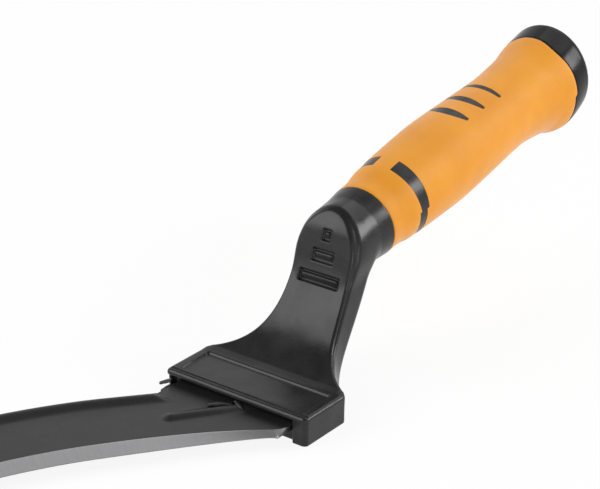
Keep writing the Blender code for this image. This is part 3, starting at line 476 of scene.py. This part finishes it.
def collar_distance(x, y, z):
    """Distance to the collar, a waisted tube whose nose is sheared to lie along the neck's face."""
    dy, dz = y - AXIS_START[1], z - AXIS_START[2]
    place = dy * AXIS[1] + dz * AXIS[2]
    up = dy * AXIS_UP[1] + dz * AXIS_UP[2]
    slant = 1 / math.tan(FACE_SLOPE - TILT)
    sheared = place - up * slant * np.clip(-place / (COLLAR_LENGTH - COLLAR_NOSE_LENGTH), 0, 1)
    share = np.sqrt(np.clip((sheared + COLLAR_LENGTH) / COLLAR_NOSE_LENGTH, 0, 1))
    flared = np.clip(1 + place / COLLAR_FLARE_LENGTH, 0, 1)
    radius = (COLLAR_WAIST_RADIUS - COLLAR_NOSE_DROP * (1 - share) ** 2
              + (COLLAR_RADIUS - COLLAR_WAIST_RADIUS) * flared)
    tube = np.hypot(x, up) - radius
    nose = -(sheared + COLLAR_LENGTH) * math.sin(FACE_SLOPE - TILT)
    return round_max(round_max(tube, nose, COLLAR_NOSE_RADIUS), place, COLLAR_END_RADIUS)


def moulding(x, y, z):
    """Signed distance, in millimetres, to the head, neck and collar."""
    plan = rounded_box(x, y, HEAD_LENGTH / 2, HEAD_DEPTH / 2, HEAD_CORNER_RADIUS)
    head = round_max(plan, z - HEAD_HEIGHT, HEAD_EDGE_RADIUS)
    head = round_max(head, -z, HEAD_FOOT_RADIUS)
    body = smooth_min(neck_distance(x, y, z), collar_distance(x, y, z), COLLAR_FILLET)
    body = np.maximum(smooth_min(body, head, NECK_FOOT_FILLET), np.abs(x) - HEAD_LENGTH / 2)

    left, right, front, rear = PANEL
    px = np.abs(x - (left + right) / 2) - (right - left) / 2
    py = np.abs(y - (front + rear) / 2) - (rear - front) / 2
    recess = soft_max(soft_max(px, py, PANEL_CORNER), HEAD_HEIGHT - PANEL_DEPTH - z, PANEL_SOFTNESS)
    body = soft_max(body, -recess, PANEL_SOFTNESS)
    crease = np.hypot(y - HEAD_FRONT - CREASE_PLACE, z - HEAD_HEIGHT - CREASE_RISE) - CREASE_RADIUS
    body = soft_max(body, -crease, CREASE_SOFTNESS)
    under_lip = np.maximum(y - HEAD_FRONT - LIP_OVERHANG, z - HEAD_HEIGHT + LIP_HEIGHT)
    under_lip = np.maximum(under_lip, x - LIP_RIGHT_END)
    body = soft_max(body, -under_lip, LIP_SOFTNESS)
    hollow = np.maximum(y - HEAD_FRONT - HOLLOW_DEPTH, z - HEAD_HEIGHT + LIP_HEIGHT + HOLLOW_DROP)
    hollow = np.maximum(np.maximum(hollow, x - ROOT_RIGHT), -x - HEAD_LENGTH / 2 + HOLLOW_LEFT_WALL)
    body = soft_max(body, -np.maximum(hollow, HOLLOW_FLOOR - z), LIP_SOFTNESS)
    middle, reach = (ROOT_LEFT + ROOT_RIGHT) / 2, (ROOT_RIGHT - ROOT_LEFT) / 2 + SLOT_CLEARANCE
    slot = np.maximum(np.abs(x - middle) - reach, np.abs(z - SLOT_MIDDLE) - SLOT_HALF_HEIGHT)
    return soft_max(body, -np.maximum(slot, y - HEAD_FRONT - SLOT_DEPTH), SLOT_SOFTNESS)


def sample_blocks(field, axes, block):
    """Field on a grid, worked out only in the blocks of points near the surface, else its sign."""
    counts = [len(axis) // block for axis in axes]
    values = np.empty([n * block for n in counts])
    blocks = values.reshape(counts[0], block, counts[1], block, counts[2], block).transpose(0, 2, 4, 1, 3, 5)
    middles = [axis[:n * block].reshape(n, block).mean(axis=1) for axis, n in zip(axes, counts)]
    rough = field(*np.meshgrid(*middles, indexing="ij", sparse=True))
    blocks[:] = np.where(rough < 0, -1.0, 1.0)[..., None, None, None]
    near = np.argwhere(np.abs(rough) < 1.5 * block * (axes[0][1] - axes[0][0]))
    local = np.arange(block)
    grids = [axis[index[:, None] * block + local] for axis, index in zip(axes, near.T)]
    x = grids[0][:, :, None, None]
    y = grids[1][:, None, :, None]
    z = grids[2][:, None, None, :]
    blocks[tuple(near.T)] = field(x, y, z)
    return values


def field_slope(field, points, reach=SLOPE_REACH):
    """Gradient of the field at points."""
    return np.stack([(field(*(points + offset).T) - field(*(points - offset).T)) / (2 * reach)
                     for offset in np.eye(3) * reach], axis=1)


def net_skin(field, low, high, step):
    """Quads over the zero surface of a field, with each point moved onto it, and its normals."""
    block = 4
    axes = []
    for start, stop in zip(low, high):
        count = math.ceil((stop - start) / (step * block)) * block
        axes.append(start + step * np.arange(count))
    values = sample_blocks(field, axes, block)
    inside = values < 0
    counts = np.zeros(tuple(n - 1 for n in values.shape), np.int8)
    for i in (0, 1):
        for j in (0, 1):
            for k in (0, 1):
                counts += inside[i:i - 1 or None, j:j - 1 or None, k:k - 1 or None]
    cells = np.argwhere((counts > 0) & (counts < 8))
    ids = np.full(counts.shape, -1, np.int64)
    ids[tuple(cells.T)] = np.arange(len(cells))
    total = np.zeros((len(cells), 3))
    crossings = np.zeros(len(cells))
    corners = np.array([(i, j, k) for i in (0, 1) for j in (0, 1) for k in (0, 1)])
    for a in range(8):
        for b in range(a + 1, 8):
            if np.abs(corners[a] - corners[b]).sum() != 1:
                continue
            va = values[tuple((cells + corners[a]).T)]
            vb = values[tuple((cells + corners[b]).T)]
            crossed = (va < 0) != (vb < 0)
            t = np.where(crossed, va / np.where(crossed, va - vb, 1.0), 0.0)
            place = corners[a] + t[:, None] * (corners[b] - corners[a])
            total += place * crossed[:, None]
            crossings += crossed
    points = np.array(low) + (cells + total / crossings[:, None]) * step
    quads = []
    for axis in range(3):
        one = [slice(None)] * 3
        other = [slice(None)] * 3
        one[axis], other[axis] = slice(0, -1), slice(1, None)
        changed = np.argwhere(inside[tuple(one)] != inside[tuple(other)])
        first, second = [a for a in range(3) if a != axis]
        around = []
        for i, j in ((1, 1), (0, 1), (0, 0), (1, 0)):
            cell = changed.copy()
            cell[:, first] -= i
            cell[:, second] -= j
            around.append(ids[tuple(cell.T)])
        quads.append(np.stack(around, axis=1))
    quads = np.concatenate(quads)
    for _ in range(3):
        value = field(*points.T)
        slope = field_slope(field, points)
        size = np.maximum((slope**2).sum(axis=1), 0.3)
        move = -value[:, None] * slope / size[:, None]
        points = points + np.clip(move, -step / 2, step / 2)
    normals = field_slope(field, points, NORMAL_REACH)
    normals = normals / np.maximum(np.linalg.norm(normals, axis=1), 0.001)[:, None]
    return points, quads.tolist(), normals


# Grip


def between(near, far, place_share, form_share):
    """A section between two others, with its own share for the place and for the form."""
    return near + (far - near) * np.array((place_share, form_share, form_share))


def grip_rows():
    """Place, half width and lift of the sections that shape the grip."""
    shoulder = np.array((14.0, 15.6, 0.38))
    belly = np.array((48.0, 16.95, 0.54))
    waist = np.array((92.0, 15.2, 0.54))
    flare = np.array((112.0, 16.9, -0.45))
    return np.array(((0.0, COLLAR_RADIUS, 0.0), (6.5, COLLAR_RADIUS + 0.05, 0.22), shoulder,
                     between(shoulder, belly, 0.5, 0.7), belly, between(belly, waist, 0.5, 0.5), waist,
                     between(waist, flare, 0.6, 0.44), flare, (GRIP_LENGTH, 18.95, -1.15),
                     (GRIP_LENGTH + CAP_LENGTH, 18.5, 1.2)))


GRIP_ROWS = grip_rows()


def grip_section(place):
    """Half width, half height and lift at places along the grip, on a smooth curve."""
    place = np.atleast_1d(np.asarray(place, float))
    rows = GRIP_ROWS
    k = np.clip(np.searchsorted(rows[:, 0], place, side="right") - 1, 0, len(rows) - 2)
    before, here, there = rows[np.maximum(k - 1, 0)], rows[k], rows[k + 1]
    after = rows[np.minimum(k + 2, len(rows) - 1)]
    span = (there[:, 0] - here[:, 0])[:, None]
    t = np.clip((place - here[:, 0])[:, None] / span, 0, 1)
    slope_here = (there[:, 1:] - before[:, 1:]) / (there[:, :1] - before[:, :1])
    slope_there = (after[:, 1:] - here[:, 1:]) / (after[:, :1] - here[:, :1])
    width, lift = (here[:, 1:] * (2 * t**3 - 3 * t**2 + 1) + slope_here * span * (t**3 - 2 * t**2 + t)
                   + there[:, 1:] * (3 * t**2 - 2 * t**3) + slope_there * span * (t**3 - t**2)).T
    return width, width * (1 + BUTT_OVAL * np.clip(place / GRIP_LENGTH, 0, 1)), lift


def grip_ring(place, inset, segments, shift=None):
    """Ring of the grip's form; shift moves each of its points along the axis."""
    angle = 2 * np.pi * np.arange(segments) / segments
    places = np.full(segments, float(place)) if shift is None else place + shift
    width, height, lift = grip_section(places)
    return (AXIS_START + np.outer(places, AXIS) + np.outer(lift, AXIS_UP)
            + np.outer((width - inset) * np.cos(angle), RIGHT)
            + np.outer((height - inset) * np.sin(angle), AXIS_UP))


def seam_shift(segments):
    """How far the seam to the butt cap wanders: a dip on one side, a step at the mould's parting line."""
    angle = np.degrees(2 * np.pi * np.arange(segments) / segments)
    upper = SEAM_STEP - SEAM_DIP * np.exp(-((angle - SEAM_DIP_ANGLE) / SEAM_DIP_REACH) ** 2)
    return np.where(angle < 180.0, upper, -SEAM_STEP)


def make_grip(surface):
    """Soft sleeve over the core, with windows for the band and the crescents."""
    segments = FINE_SEGMENTS
    seam = seam_shift(segments)
    end = GRIP_LENGTH
    rings = [grip_ring(place, inset, segments) for place, inset in GRIP_EDGE]
    for place in np.linspace(1.6, end - 8.0, 92):
        rings.append(grip_ring(place, 0.0, segments))
    for place in np.linspace(end - 7.0, end - 0.4, 8):
        rings.append(grip_ring(place, 0.0, segments, seam * smooth(end - 8.0, end - 0.4, place)))
    rings.append(grip_ring(end - 0.16, 0.08, segments, seam))
    rings.append(grip_ring(end - 0.08, 0.25, segments, seam))
    sleeve = make_piece("soft_grip", *loft_arrays(rings), [surface], "orange_rubber", "grip_sleeve")
    places = np.linspace(-4.0, end + 4.0, 40)
    hollow_rings = [grip_ring(place, GRIP_WALL, COARSE_SEGMENTS) for place in places]
    cut(sleeve, make_piece("hollow", *loft_arrays(hollow_rings), [surface], None, None), "DIFFERENCE")
    for name, points, faces in window_shapes(0.0):
        cut(sleeve, make_piece(name, points, faces, [surface], None, None), "DIFFERENCE")
    sleeve.data.shade_smooth()
    sleeve.data.set_sharp_from_angle(angle=math.radians(38))


def band_edges(angle):
    """Head side and butt side of the dark band at angles round the grip, in degrees."""
    fold = np.where(angle > 180, 360 - angle, angle)
    fold = np.where(fold > 90, 180 - fold, fold)
    upper = np.interp(fold, BAND_FRONT_ANGLES, BAND_FRONT_PLACES)
    return (np.where(angle < 180, upper, BAND_FRONT_UNDER),
            np.where(angle < 180, BAND_REAR, BAND_REAR_UNDER))


def window_shapes(clearance):
    """Closed cutters of the band and the three crescents, drawn in by a clearance."""
    gap = BAND_HALF_GAP + math.degrees(clearance / COLLAR_RADIUS)
    angle = np.concatenate((np.arange(90 + gap, 180.0, BAND_STEP), np.arange(180.0, 359.9, BAND_STEP),
                            [359.9], 360 + np.arange(0.3, 90 - gap, BAND_STEP), [450 - gap]))
    low, high = band_edges(angle % 360)
    rings = []
    for turn, start, stop in zip(np.radians(angle), low + clearance, high - clearance):
        outward = RIGHT * math.cos(turn) + AXIS_UP * math.sin(turn)
        corners = ((BAND_DEEP, start), (BAND_PROUD, start), (BAND_PROUD, stop), (BAND_DEEP, stop))
        rings.append([AXIS_START + outward * radius + AXIS * place for radius, place in corners])
    shapes = [("band", *loft_arrays(rings))]
    for i, (rear, bow) in enumerate(CRESCENTS):
        reach = CRESCENT_REACH - clearance
        across = np.linspace(-1, 1, 25)
        front = (rear - clearance - (CRESCENT_END - 2 * clearance)
                 - (bow - CRESCENT_END) * (1 - np.abs(across) ** CRESCENT_ROUNDNESS))
        outline = list(zip(reach * across, front)) + [(reach, rear - clearance), (-reach, rear - clearance)]
        rings = [[AXIS_START + RIGHT * x + AXIS * y + AXIS_UP * height for x, y in outline]
                 for height in (CRESCENT_DEEP, CRESCENT_PROUD)]
        shapes.append((f"crescent_{i + 1}", *loft_arrays(rings)))
    return shapes


def make_inlays(surface):
    """The core, and its lands that fill the grip's windows."""
    places = np.linspace(-1.0, GRIP_LENGTH - 0.3, 50)
    core_rings = [grip_ring(place, GRIP_WALL + CORE_GAP, COARSE_SEGMENTS) for place in places]
    make_piece("grip_core", *loft_arrays(core_rings), [surface], "black_plastic", "moulded_handle", sharp=40)
    for name, points, faces in window_shapes(INLAY_GAP):
        land = make_piece(f"inlay_{name}", points, faces, [surface], "black_plastic", "moulded_handle")
        places = np.linspace(6.0, 92.0, 87)
        skin_rings = [grip_ring(place, INLAY_INSET, FINE_SEGMENTS) for place in places]
        cut(land, make_piece("skin", *loft_arrays(skin_rings), [surface], None, None), "INTERSECT")
        land.data.shade_smooth()
        land.data.set_sharp_from_angle(angle=math.radians(40))


def make_cap(surface):
    """Butt cap with a rounded rim and a slightly dished end."""
    segments = FINE_SEGMENTS
    seam = seam_shift(segments)
    start, end = GRIP_LENGTH, GRIP_LENGTH + CAP_LENGTH
    rings = [grip_ring(start + 0.02, 0.25, segments, seam), grip_ring(start + 0.12, 0.05, segments, seam)]
    for place in np.linspace(start + 0.4, end - CAP_RIM, 12):
        rings.append(grip_ring(place, 0.0, segments, seam * smooth(end - CAP_RIM, start + 0.4, place)))
    for turn in np.linspace(0, math.pi / 2, 10)[1:]:
        place = end - CAP_RIM * (1 - math.sin(turn))
        rings.append(grip_ring(place, CAP_RIM * (1 - math.cos(turn)), segments))
    for inset in CAP_DISH_INSETS:
        rings.append(grip_ring(end, inset, segments) - AXIS * CAP_DISH_SLOPE * (inset - CAP_RIM))
    make_piece("end_cap", *loft_arrays(rings), [surface], "cap_plastic", "butt_cap", sharp=50)


# Blade


def turn_left(heading):
    """Direction to the left of a heading."""
    return np.array((-math.sin(heading), math.cos(heading)))


def blade_middle(distance):
    """Point and heading at a distance along the crescent's middle line."""
    place, heading, left = BLADE_START, BLADE_HEADING, distance
    for length, radius in BLADE_ARCS:
        part = min(left, length)
        turned = heading + part / radius
        place = place + turn_left(heading) * radius - turn_left(turned) * radius
        heading = turned
        left -= part
    return place, heading


def blade_half_width(distance):
    """Half the crescent's width at a distance along it."""
    share = max(0.0, (distance - TAPER_START) / (BLADE_LENGTH - TAPER_START))
    return (BLADE_TIP_WIDTH + (BLADE_WIDTH - BLADE_TIP_WIDTH) * (1 - share**TAPER_POWER)) / 2


def bend_through(start, end, bend_share, share):
    """Point on a curve that arrives at the crescent's start along its heading."""
    back = -np.array((math.cos(BLADE_HEADING), math.sin(BLADE_HEADING)))
    bend = end + back * (np.linalg.norm(end - start) * bend_share)
    return start * (1 - share) ** 2 + bend * (2 * share * (1 - share)) + end * share**2


def bend_points(start, end, bend_share, shares):
    """Points of such a curve at shares of its length."""
    line = np.array([bend_through(start, end, bend_share, t) for t in np.linspace(0, 1, 201)])
    run = np.concatenate(([0.0], np.cumsum(np.linalg.norm(np.diff(line, axis=0), axis=1))))
    return np.column_stack([np.interp(shares * run[-1], run, line[:, i]) for i in (0, 1)])


def blade_stations():
    """Spine, edge and ridge of the bevel, and the bead's share, at each section."""
    rows = []
    ridge_start = ROOT_RIGHT - RIDGE_INSET
    for y in HEAD_FRONT + np.linspace(ROOT_OVERLAP, 0.0, ROOT_STATIONS + 1)[:-1]:
        rows.append((np.array((ROOT_LEFT, y)), np.array((ROOT_RIGHT, y)), np.array((ridge_start, y)), 0.0))
    for t in np.linspace(0.0, 1.0, 14)[:-1]:
        ridge = np.array((ridge_start - (ridge_start - RIDGE_HEEL[0]) * t**2,
                          HEAD_FRONT + (RIDGE_HEEL[1] - HEAD_FRONT) * t))
        rows.append((np.array((ROOT_LEFT, HEAD_FRONT - SPINE_HEEL_LENGTH * t)),
                     np.array((ROOT_RIGHT, HEAD_FRONT - EDGE_HEEL_LENGTH * t)), ridge, 0.0))
    side = turn_left(BLADE_HEADING)
    half = blade_half_width(0.0)
    shares = np.linspace(0.0, 1.0, 61)[:-1]
    spines = bend_points(np.array((ROOT_LEFT, HEAD_FRONT - SPINE_HEEL_LENGTH)), BLADE_START - side * half,
                         SPINE_BEND_SHARE, shares)
    edges = bend_points(np.array((ROOT_RIGHT, HEAD_FRONT - EDGE_HEEL_LENGTH)), BLADE_START + side * half,
                        EDGE_BEND_SHARE, shares)
    ridges = bend_points(RIDGE_HEEL, BLADE_START + side * (half - BEVEL_WIDTH), RIDGE_BEND_SHARE, shares)
    for share, spine, edge, ridge in zip(shares, spines, edges, ridges):
        rows.append((spine, edge, ridge, float(smooth(0.04, 0.2, share))))
    for distance in np.linspace(0.0, BLADE_LENGTH, 190):
        middle, heading = blade_middle(distance)
        half = blade_half_width(distance)
        side = turn_left(heading)
        bead = min(1.0, 2 * half / (BEVEL_WIDTH + 2 * BEAD_WIDTH))
        ridge = middle + side * (half - min(BEVEL_WIDTH, 2 * half * BEVEL_SHARE))
        rows.append((middle - side * half, middle + side * half, ridge, bead))
    return rows


def mitre(across, way):
    """How much further a section that lies across a curve at a slant has to go for a width."""
    normal = np.array((-way[1], way[0])) / max(np.linalg.norm(way), 0.001)
    return 1 / max(across @ normal, MITRE_LIMIT)


def rib_height(x, y):
    """Stamped rib that runs out of the head and dies away along the blade."""
    way_x, way_y = math.cos(RIB_HEADING), math.sin(RIB_HEADING)
    along = (x - RIB_PLACE) * way_x + (y - HEAD_FRONT) * way_y
    across = -(x - RIB_PLACE) * way_y + (y - HEAD_FRONT) * way_x
    past = np.maximum(along - RIB_LENGTH, 0.0)
    return RIB_HEIGHT * np.clip(1 - (across**2 + past**2) / RIB_HALF_WIDTH**2, 0, 1) ** RIB_POWER


def make_blade(paint, ground, edge_steel):
    """Sheet with a pressed bead, a stamped rib and one ground bevel, whose marks follow its UV map."""
    rows = blade_stations()
    count = len(rows)
    across_bead = np.linspace(0, 1, 19)
    across_web = np.linspace(0, 1, 40)[1:]
    across_bevel = np.linspace(0, 1, 9)[1:]
    top, low, along = [], [], 0.0
    distances = []
    for i, (spine, edge, ridge, bead) in enumerate(rows):
        before, after = rows[max(i - 1, 0)], rows[min(i + 1, count - 1)]
        width = np.linalg.norm(edge - spine)
        across = (ridge - spine) / np.linalg.norm(ridge - spine)
        foot = spine + across * min(BEAD_WIDTH * mitre(across, after[0] - before[0]), width * BEAD_SHARE)
        bevel = np.linalg.norm(edge - ridge)
        places = [spine + (foot - spine) * t for t in across_bead]
        places += [foot + (ridge - foot) * t for t in across_web]
        places += [ridge + (edge - ridge) * t for t in across_bevel]
        places = np.array(places)
        rise = np.zeros(len(places))
        rise[:len(across_bead)] = BEAD_HEIGHT * bead * np.sin(np.pi * across_bead**BEAD_LEAN) ** 2
        rib = rib_height(places[:, 0], places[:, 1])
        drop = np.zeros(len(places))
        full = EDGE_DROP * min(bevel / min(BEVEL_HEEL_WIDTH, width * BEVEL_SHARE), 1.0)
        drop[-len(across_bevel):] = full * across_bevel
        top.append(np.column_stack((places, BLADE_HIGH + rise + rib - drop)))
        low.append(np.column_stack((places, BLADE_LOW + rise)))
        if i:
            along += np.linalg.norm(edge - rows[i - 1][1])
        distances.append(along)
    top, low = np.array(top), np.array(low)
    rings = np.concatenate((top, low[:, ::-1]), axis=1)
    points, faces = loft_arrays(rings)
    blade = make_piece("blade_steel", points, faces, [paint, ground, edge_steel], "painted_steel", "blade",
                       sharp=30)
    half = top.shape[1]
    bevel_start = len(across_bead) + len(across_web) - 1
    mesh = blade.data
    layer = mesh.uv_layers.new(name="along_across")
    size = rings.shape[1]
    for polygon in mesh.polygons:
        columns = [v % size for v in polygon.vertices]
        station = polygon.vertices[0] // size
        on_top = all(bevel_start <= c < half for c in columns)
        if len(columns) == 4 and on_top and station >= ROOT_STATIONS:
            polygon.material_index = 1
        elif len(columns) == 4 and min(columns) == half - 1 and max(columns) == half:
            polygon.material_index = 2
        for corner in polygon.loop_indices:
            vertex = mesh.loops[corner].vertex_index
            row, column = vertex // size, vertex % size
            across = min(column, size - 1 - column) / half
            layer.data[corner].uv = (distances[row] * MM, across * UV_WIDTH)


def make_flash(surface):
    """Thin ragged slivers of plastic, each a tapering loft along its path."""
    turns = np.linspace(0, 2 * np.pi, 17)[:-1]
    for name, path, widths, thick in FLASH:
        path, widths = np.array(path), np.array(widths)
        way = path[-1] - path[0]
        way = way / np.linalg.norm(way)
        across = np.cross(way, (0.0, 0.0, 1.0))
        across = across / np.linalg.norm(across)
        out = np.cross(across, way)
        rings = []
        for share in np.linspace(0, 2, 13):
            middle = np.array([np.interp(share, (0, 1, 2), path[:, i]) for i in range(3)])
            ragged = 1 + 0.12 * math.sin(7 * share + len(name))
            half = np.interp(share, (0, 1, 2), widths) * ragged
            slim = thick * min(1.0, half / 0.6)
            rings.append([middle + across * half * math.cos(t) + out * slim * math.sin(t) for t in turns])
        make_piece(name, *loft_arrays(rings), [surface], "black_plastic", "moulded_handle", sharp=50)


# Stage


def make_stage():
    """Pale floor that stays white to the camera and keeps the object's shadow."""
    mesh = bpy.data.meshes.new("studio_floor")
    corners = ((-1, -1), (1, -1), (1, 1), (-1, 1))
    mesh.from_pydata([(x * FLOOR_SIZE, y * FLOOR_SIZE, -FLOOR_DROP) for x, y in corners], [], [(0, 1, 2, 3)])
    floor = bpy.data.objects.new("studio_floor", mesh)
    bpy.context.scene.collection.objects.link(floor)
    made = bpy.data.materials.new("studio_floor")
    made.use_nodes = True
    tree = made.node_tree
    tree.nodes.clear()
    out = tree.nodes.new("ShaderNodeOutputMaterial")
    matt = tree.nodes.new("ShaderNodeBsdfDiffuse")
    matt.inputs["Color"].default_value = (FLOOR_TONE, FLOOR_TONE, FLOOR_TONE, 1.0)
    glow = tree.nodes.new("ShaderNodeEmission")
    glow.inputs["Color"].default_value = (1.0, 1.0, 1.0, 1.0)
    glow.inputs["Strength"].default_value = 1.0
    path = tree.nodes.new("ShaderNodeLightPath")
    seen = path.outputs["Is Camera Ray"]
    for other in ("Is Glossy Ray", "Is Transmission Ray"):
        either = tree.nodes.new("ShaderNodeMath")
        either.operation = "MAXIMUM"
        tree.links.new(seen, either.inputs[0])
        tree.links.new(path.outputs[other], either.inputs[1])
        seen = either.outputs[0]
    share = tree.nodes.new("ShaderNodeMath")
    share.operation = "MULTIPLY"
    share.inputs[1].default_value = FLOOR_GLOW
    mix = tree.nodes.new("ShaderNodeMixShader")
    tree.links.new(seen, share.inputs[0])
    tree.links.new(share.outputs[0], mix.inputs["Fac"])
    tree.links.new(matt.outputs[0], mix.inputs[1])
    tree.links.new(glow.outputs[0], mix.inputs[2])
    tree.links.new(mix.outputs[0], out.inputs["Surface"])
    mesh.materials.append(made)


def make_lamp(name, place, target, size, power):
    """Rectangular lamp turned to a target."""
    data = bpy.data.lights.new(name, "AREA")
    data.shape = "RECTANGLE"
    data.size, data.size_y = size
    data.energy = power
    lamp = bpy.data.objects.new(name, data)
    bpy.context.scene.collection.objects.link(lamp)
    lamp.location = place
    lamp.rotation_euler = (Vector(target) - Vector(place)).to_track_quat("-Z", "Y").to_euler()


def make_lights():
    """Soft sky that darkens overhead, sooner in front, and the lamps."""
    world = bpy.context.scene.world or bpy.data.worlds.new("studio")
    bpy.context.scene.world = world
    world.use_nodes = True
    tree = world.node_tree
    tree.nodes.clear()
    out = tree.nodes.new("ShaderNodeOutputWorld")
    sky = tree.nodes.new("ShaderNodeBackground")
    sky.inputs["Strength"].default_value = 1.0
    place = tree.nodes.new("ShaderNodeTexCoord")
    parts = tree.nodes.new("ShaderNodeSeparateXYZ")
    tree.links.new(place.outputs["Generated"], parts.inputs[0])
    height = tree.nodes.new("ShaderNodeMath")
    height.operation = "MULTIPLY_ADD"
    tree.links.new(parts.outputs["Y"], height.inputs[0])
    height.inputs[1].default_value = SKY_LEAN
    tree.links.new(parts.outputs["Z"], height.inputs[2])
    tree.links.new(ramp(tree, height.outputs[0], SKY_STOPS), sky.inputs["Color"])
    tree.links.new(sky.outputs[0], out.inputs["Surface"])
    for lamp in LAMPS:
        make_lamp(*lamp)


def make_camera():
    """Camera at the photograph's place and angles."""
    data = bpy.data.cameras.new("photo_camera")
    data.lens = CAMERA_LENS
    data.sensor_width = CAMERA_SENSOR
    data.sensor_fit = "HORIZONTAL"
    data.shift_x, data.shift_y = CAMERA_SHIFT
    camera = bpy.data.objects.new("photo_camera", data)
    bpy.context.scene.collection.objects.link(camera)
    azimuth, elevation, roll = (math.radians(v) for v in CAMERA_ANGLES)
    back = Vector((math.cos(elevation) * math.sin(azimuth), -math.cos(elevation) * math.cos(azimuth),
                   math.sin(elevation)))
    right = Vector((math.cos(azimuth), math.sin(azimuth), 0.0))
    up = back.cross(right)
    turned_right = right * math.cos(roll) + up * math.sin(roll)
    turned_up = up * math.cos(roll) - right * math.sin(roll)
    camera.matrix_world = Matrix((
        (turned_right.x, turned_up.x, back.x, CAMERA_PLACE[0]),
        (turned_right.y, turned_up.y, back.y, CAMERA_PLACE[1]),
        (turned_right.z, turned_up.z, back.z, CAMERA_PLACE[2]),
        (0.0, 0.0, 0.0, 1.0)))
    bpy.context.scene.camera = camera


def main():
    """Materials, camera and pieces, then floor and light, and the view transform at the end."""
    black = plastic_material("moulded_black", (0.014, 0.014, 0.0145), roughness=0.26, waviness=0.35,
                             grain=0.0025, gloss_level=0.3)
    cap_black = plastic_material("cap_black", (0.007, 0.007, 0.0075), roughness=0.2, waviness=0.2,
                                 grain=0.002, gloss_level=0.18)
    orange = rubber_material("soft_orange", (0.765, 0.299, 0.011))
    paint = paint_material("black_paint")
    ground = ground_material("ground_bevel", (0.47, 0.47, 0.48), roughness=0.4)
    edge_steel = ground_material("cutting_edge", (0.25, 0.25, 0.26), roughness=0.4)
    tang_steel = steel_material("rolled_steel", (0.42, 0.42, 0.44), roughness=0.45)
    rivet_steel = steel_material("rivet_steel", (0.55, 0.55, 0.57), roughness=0.35)

    make_camera()
    make_blade(paint, ground, edge_steel)
    points, quads, normals = net_skin(moulding, SKIN_LOW, SKIN_HIGH, SKIN_STEP)
    make_piece("moulded_body", points, quads, [black], "black_plastic", "moulded_handle", normals=normals)
    make_flash(black)
    make_inlays(black)
    make_grip(orange)
    make_cap(cap_black)
    for node, surface in (("tang", tang_steel), ("tang_rivet_front", rivet_steel),
                          ("tang_rivet_rear", rivet_steel)):
        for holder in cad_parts[node].material_slots:
            holder.material = surface
    make_stage()
    make_lights()
    bpy.context.scene.view_settings.view_transform = "Standard"


main()
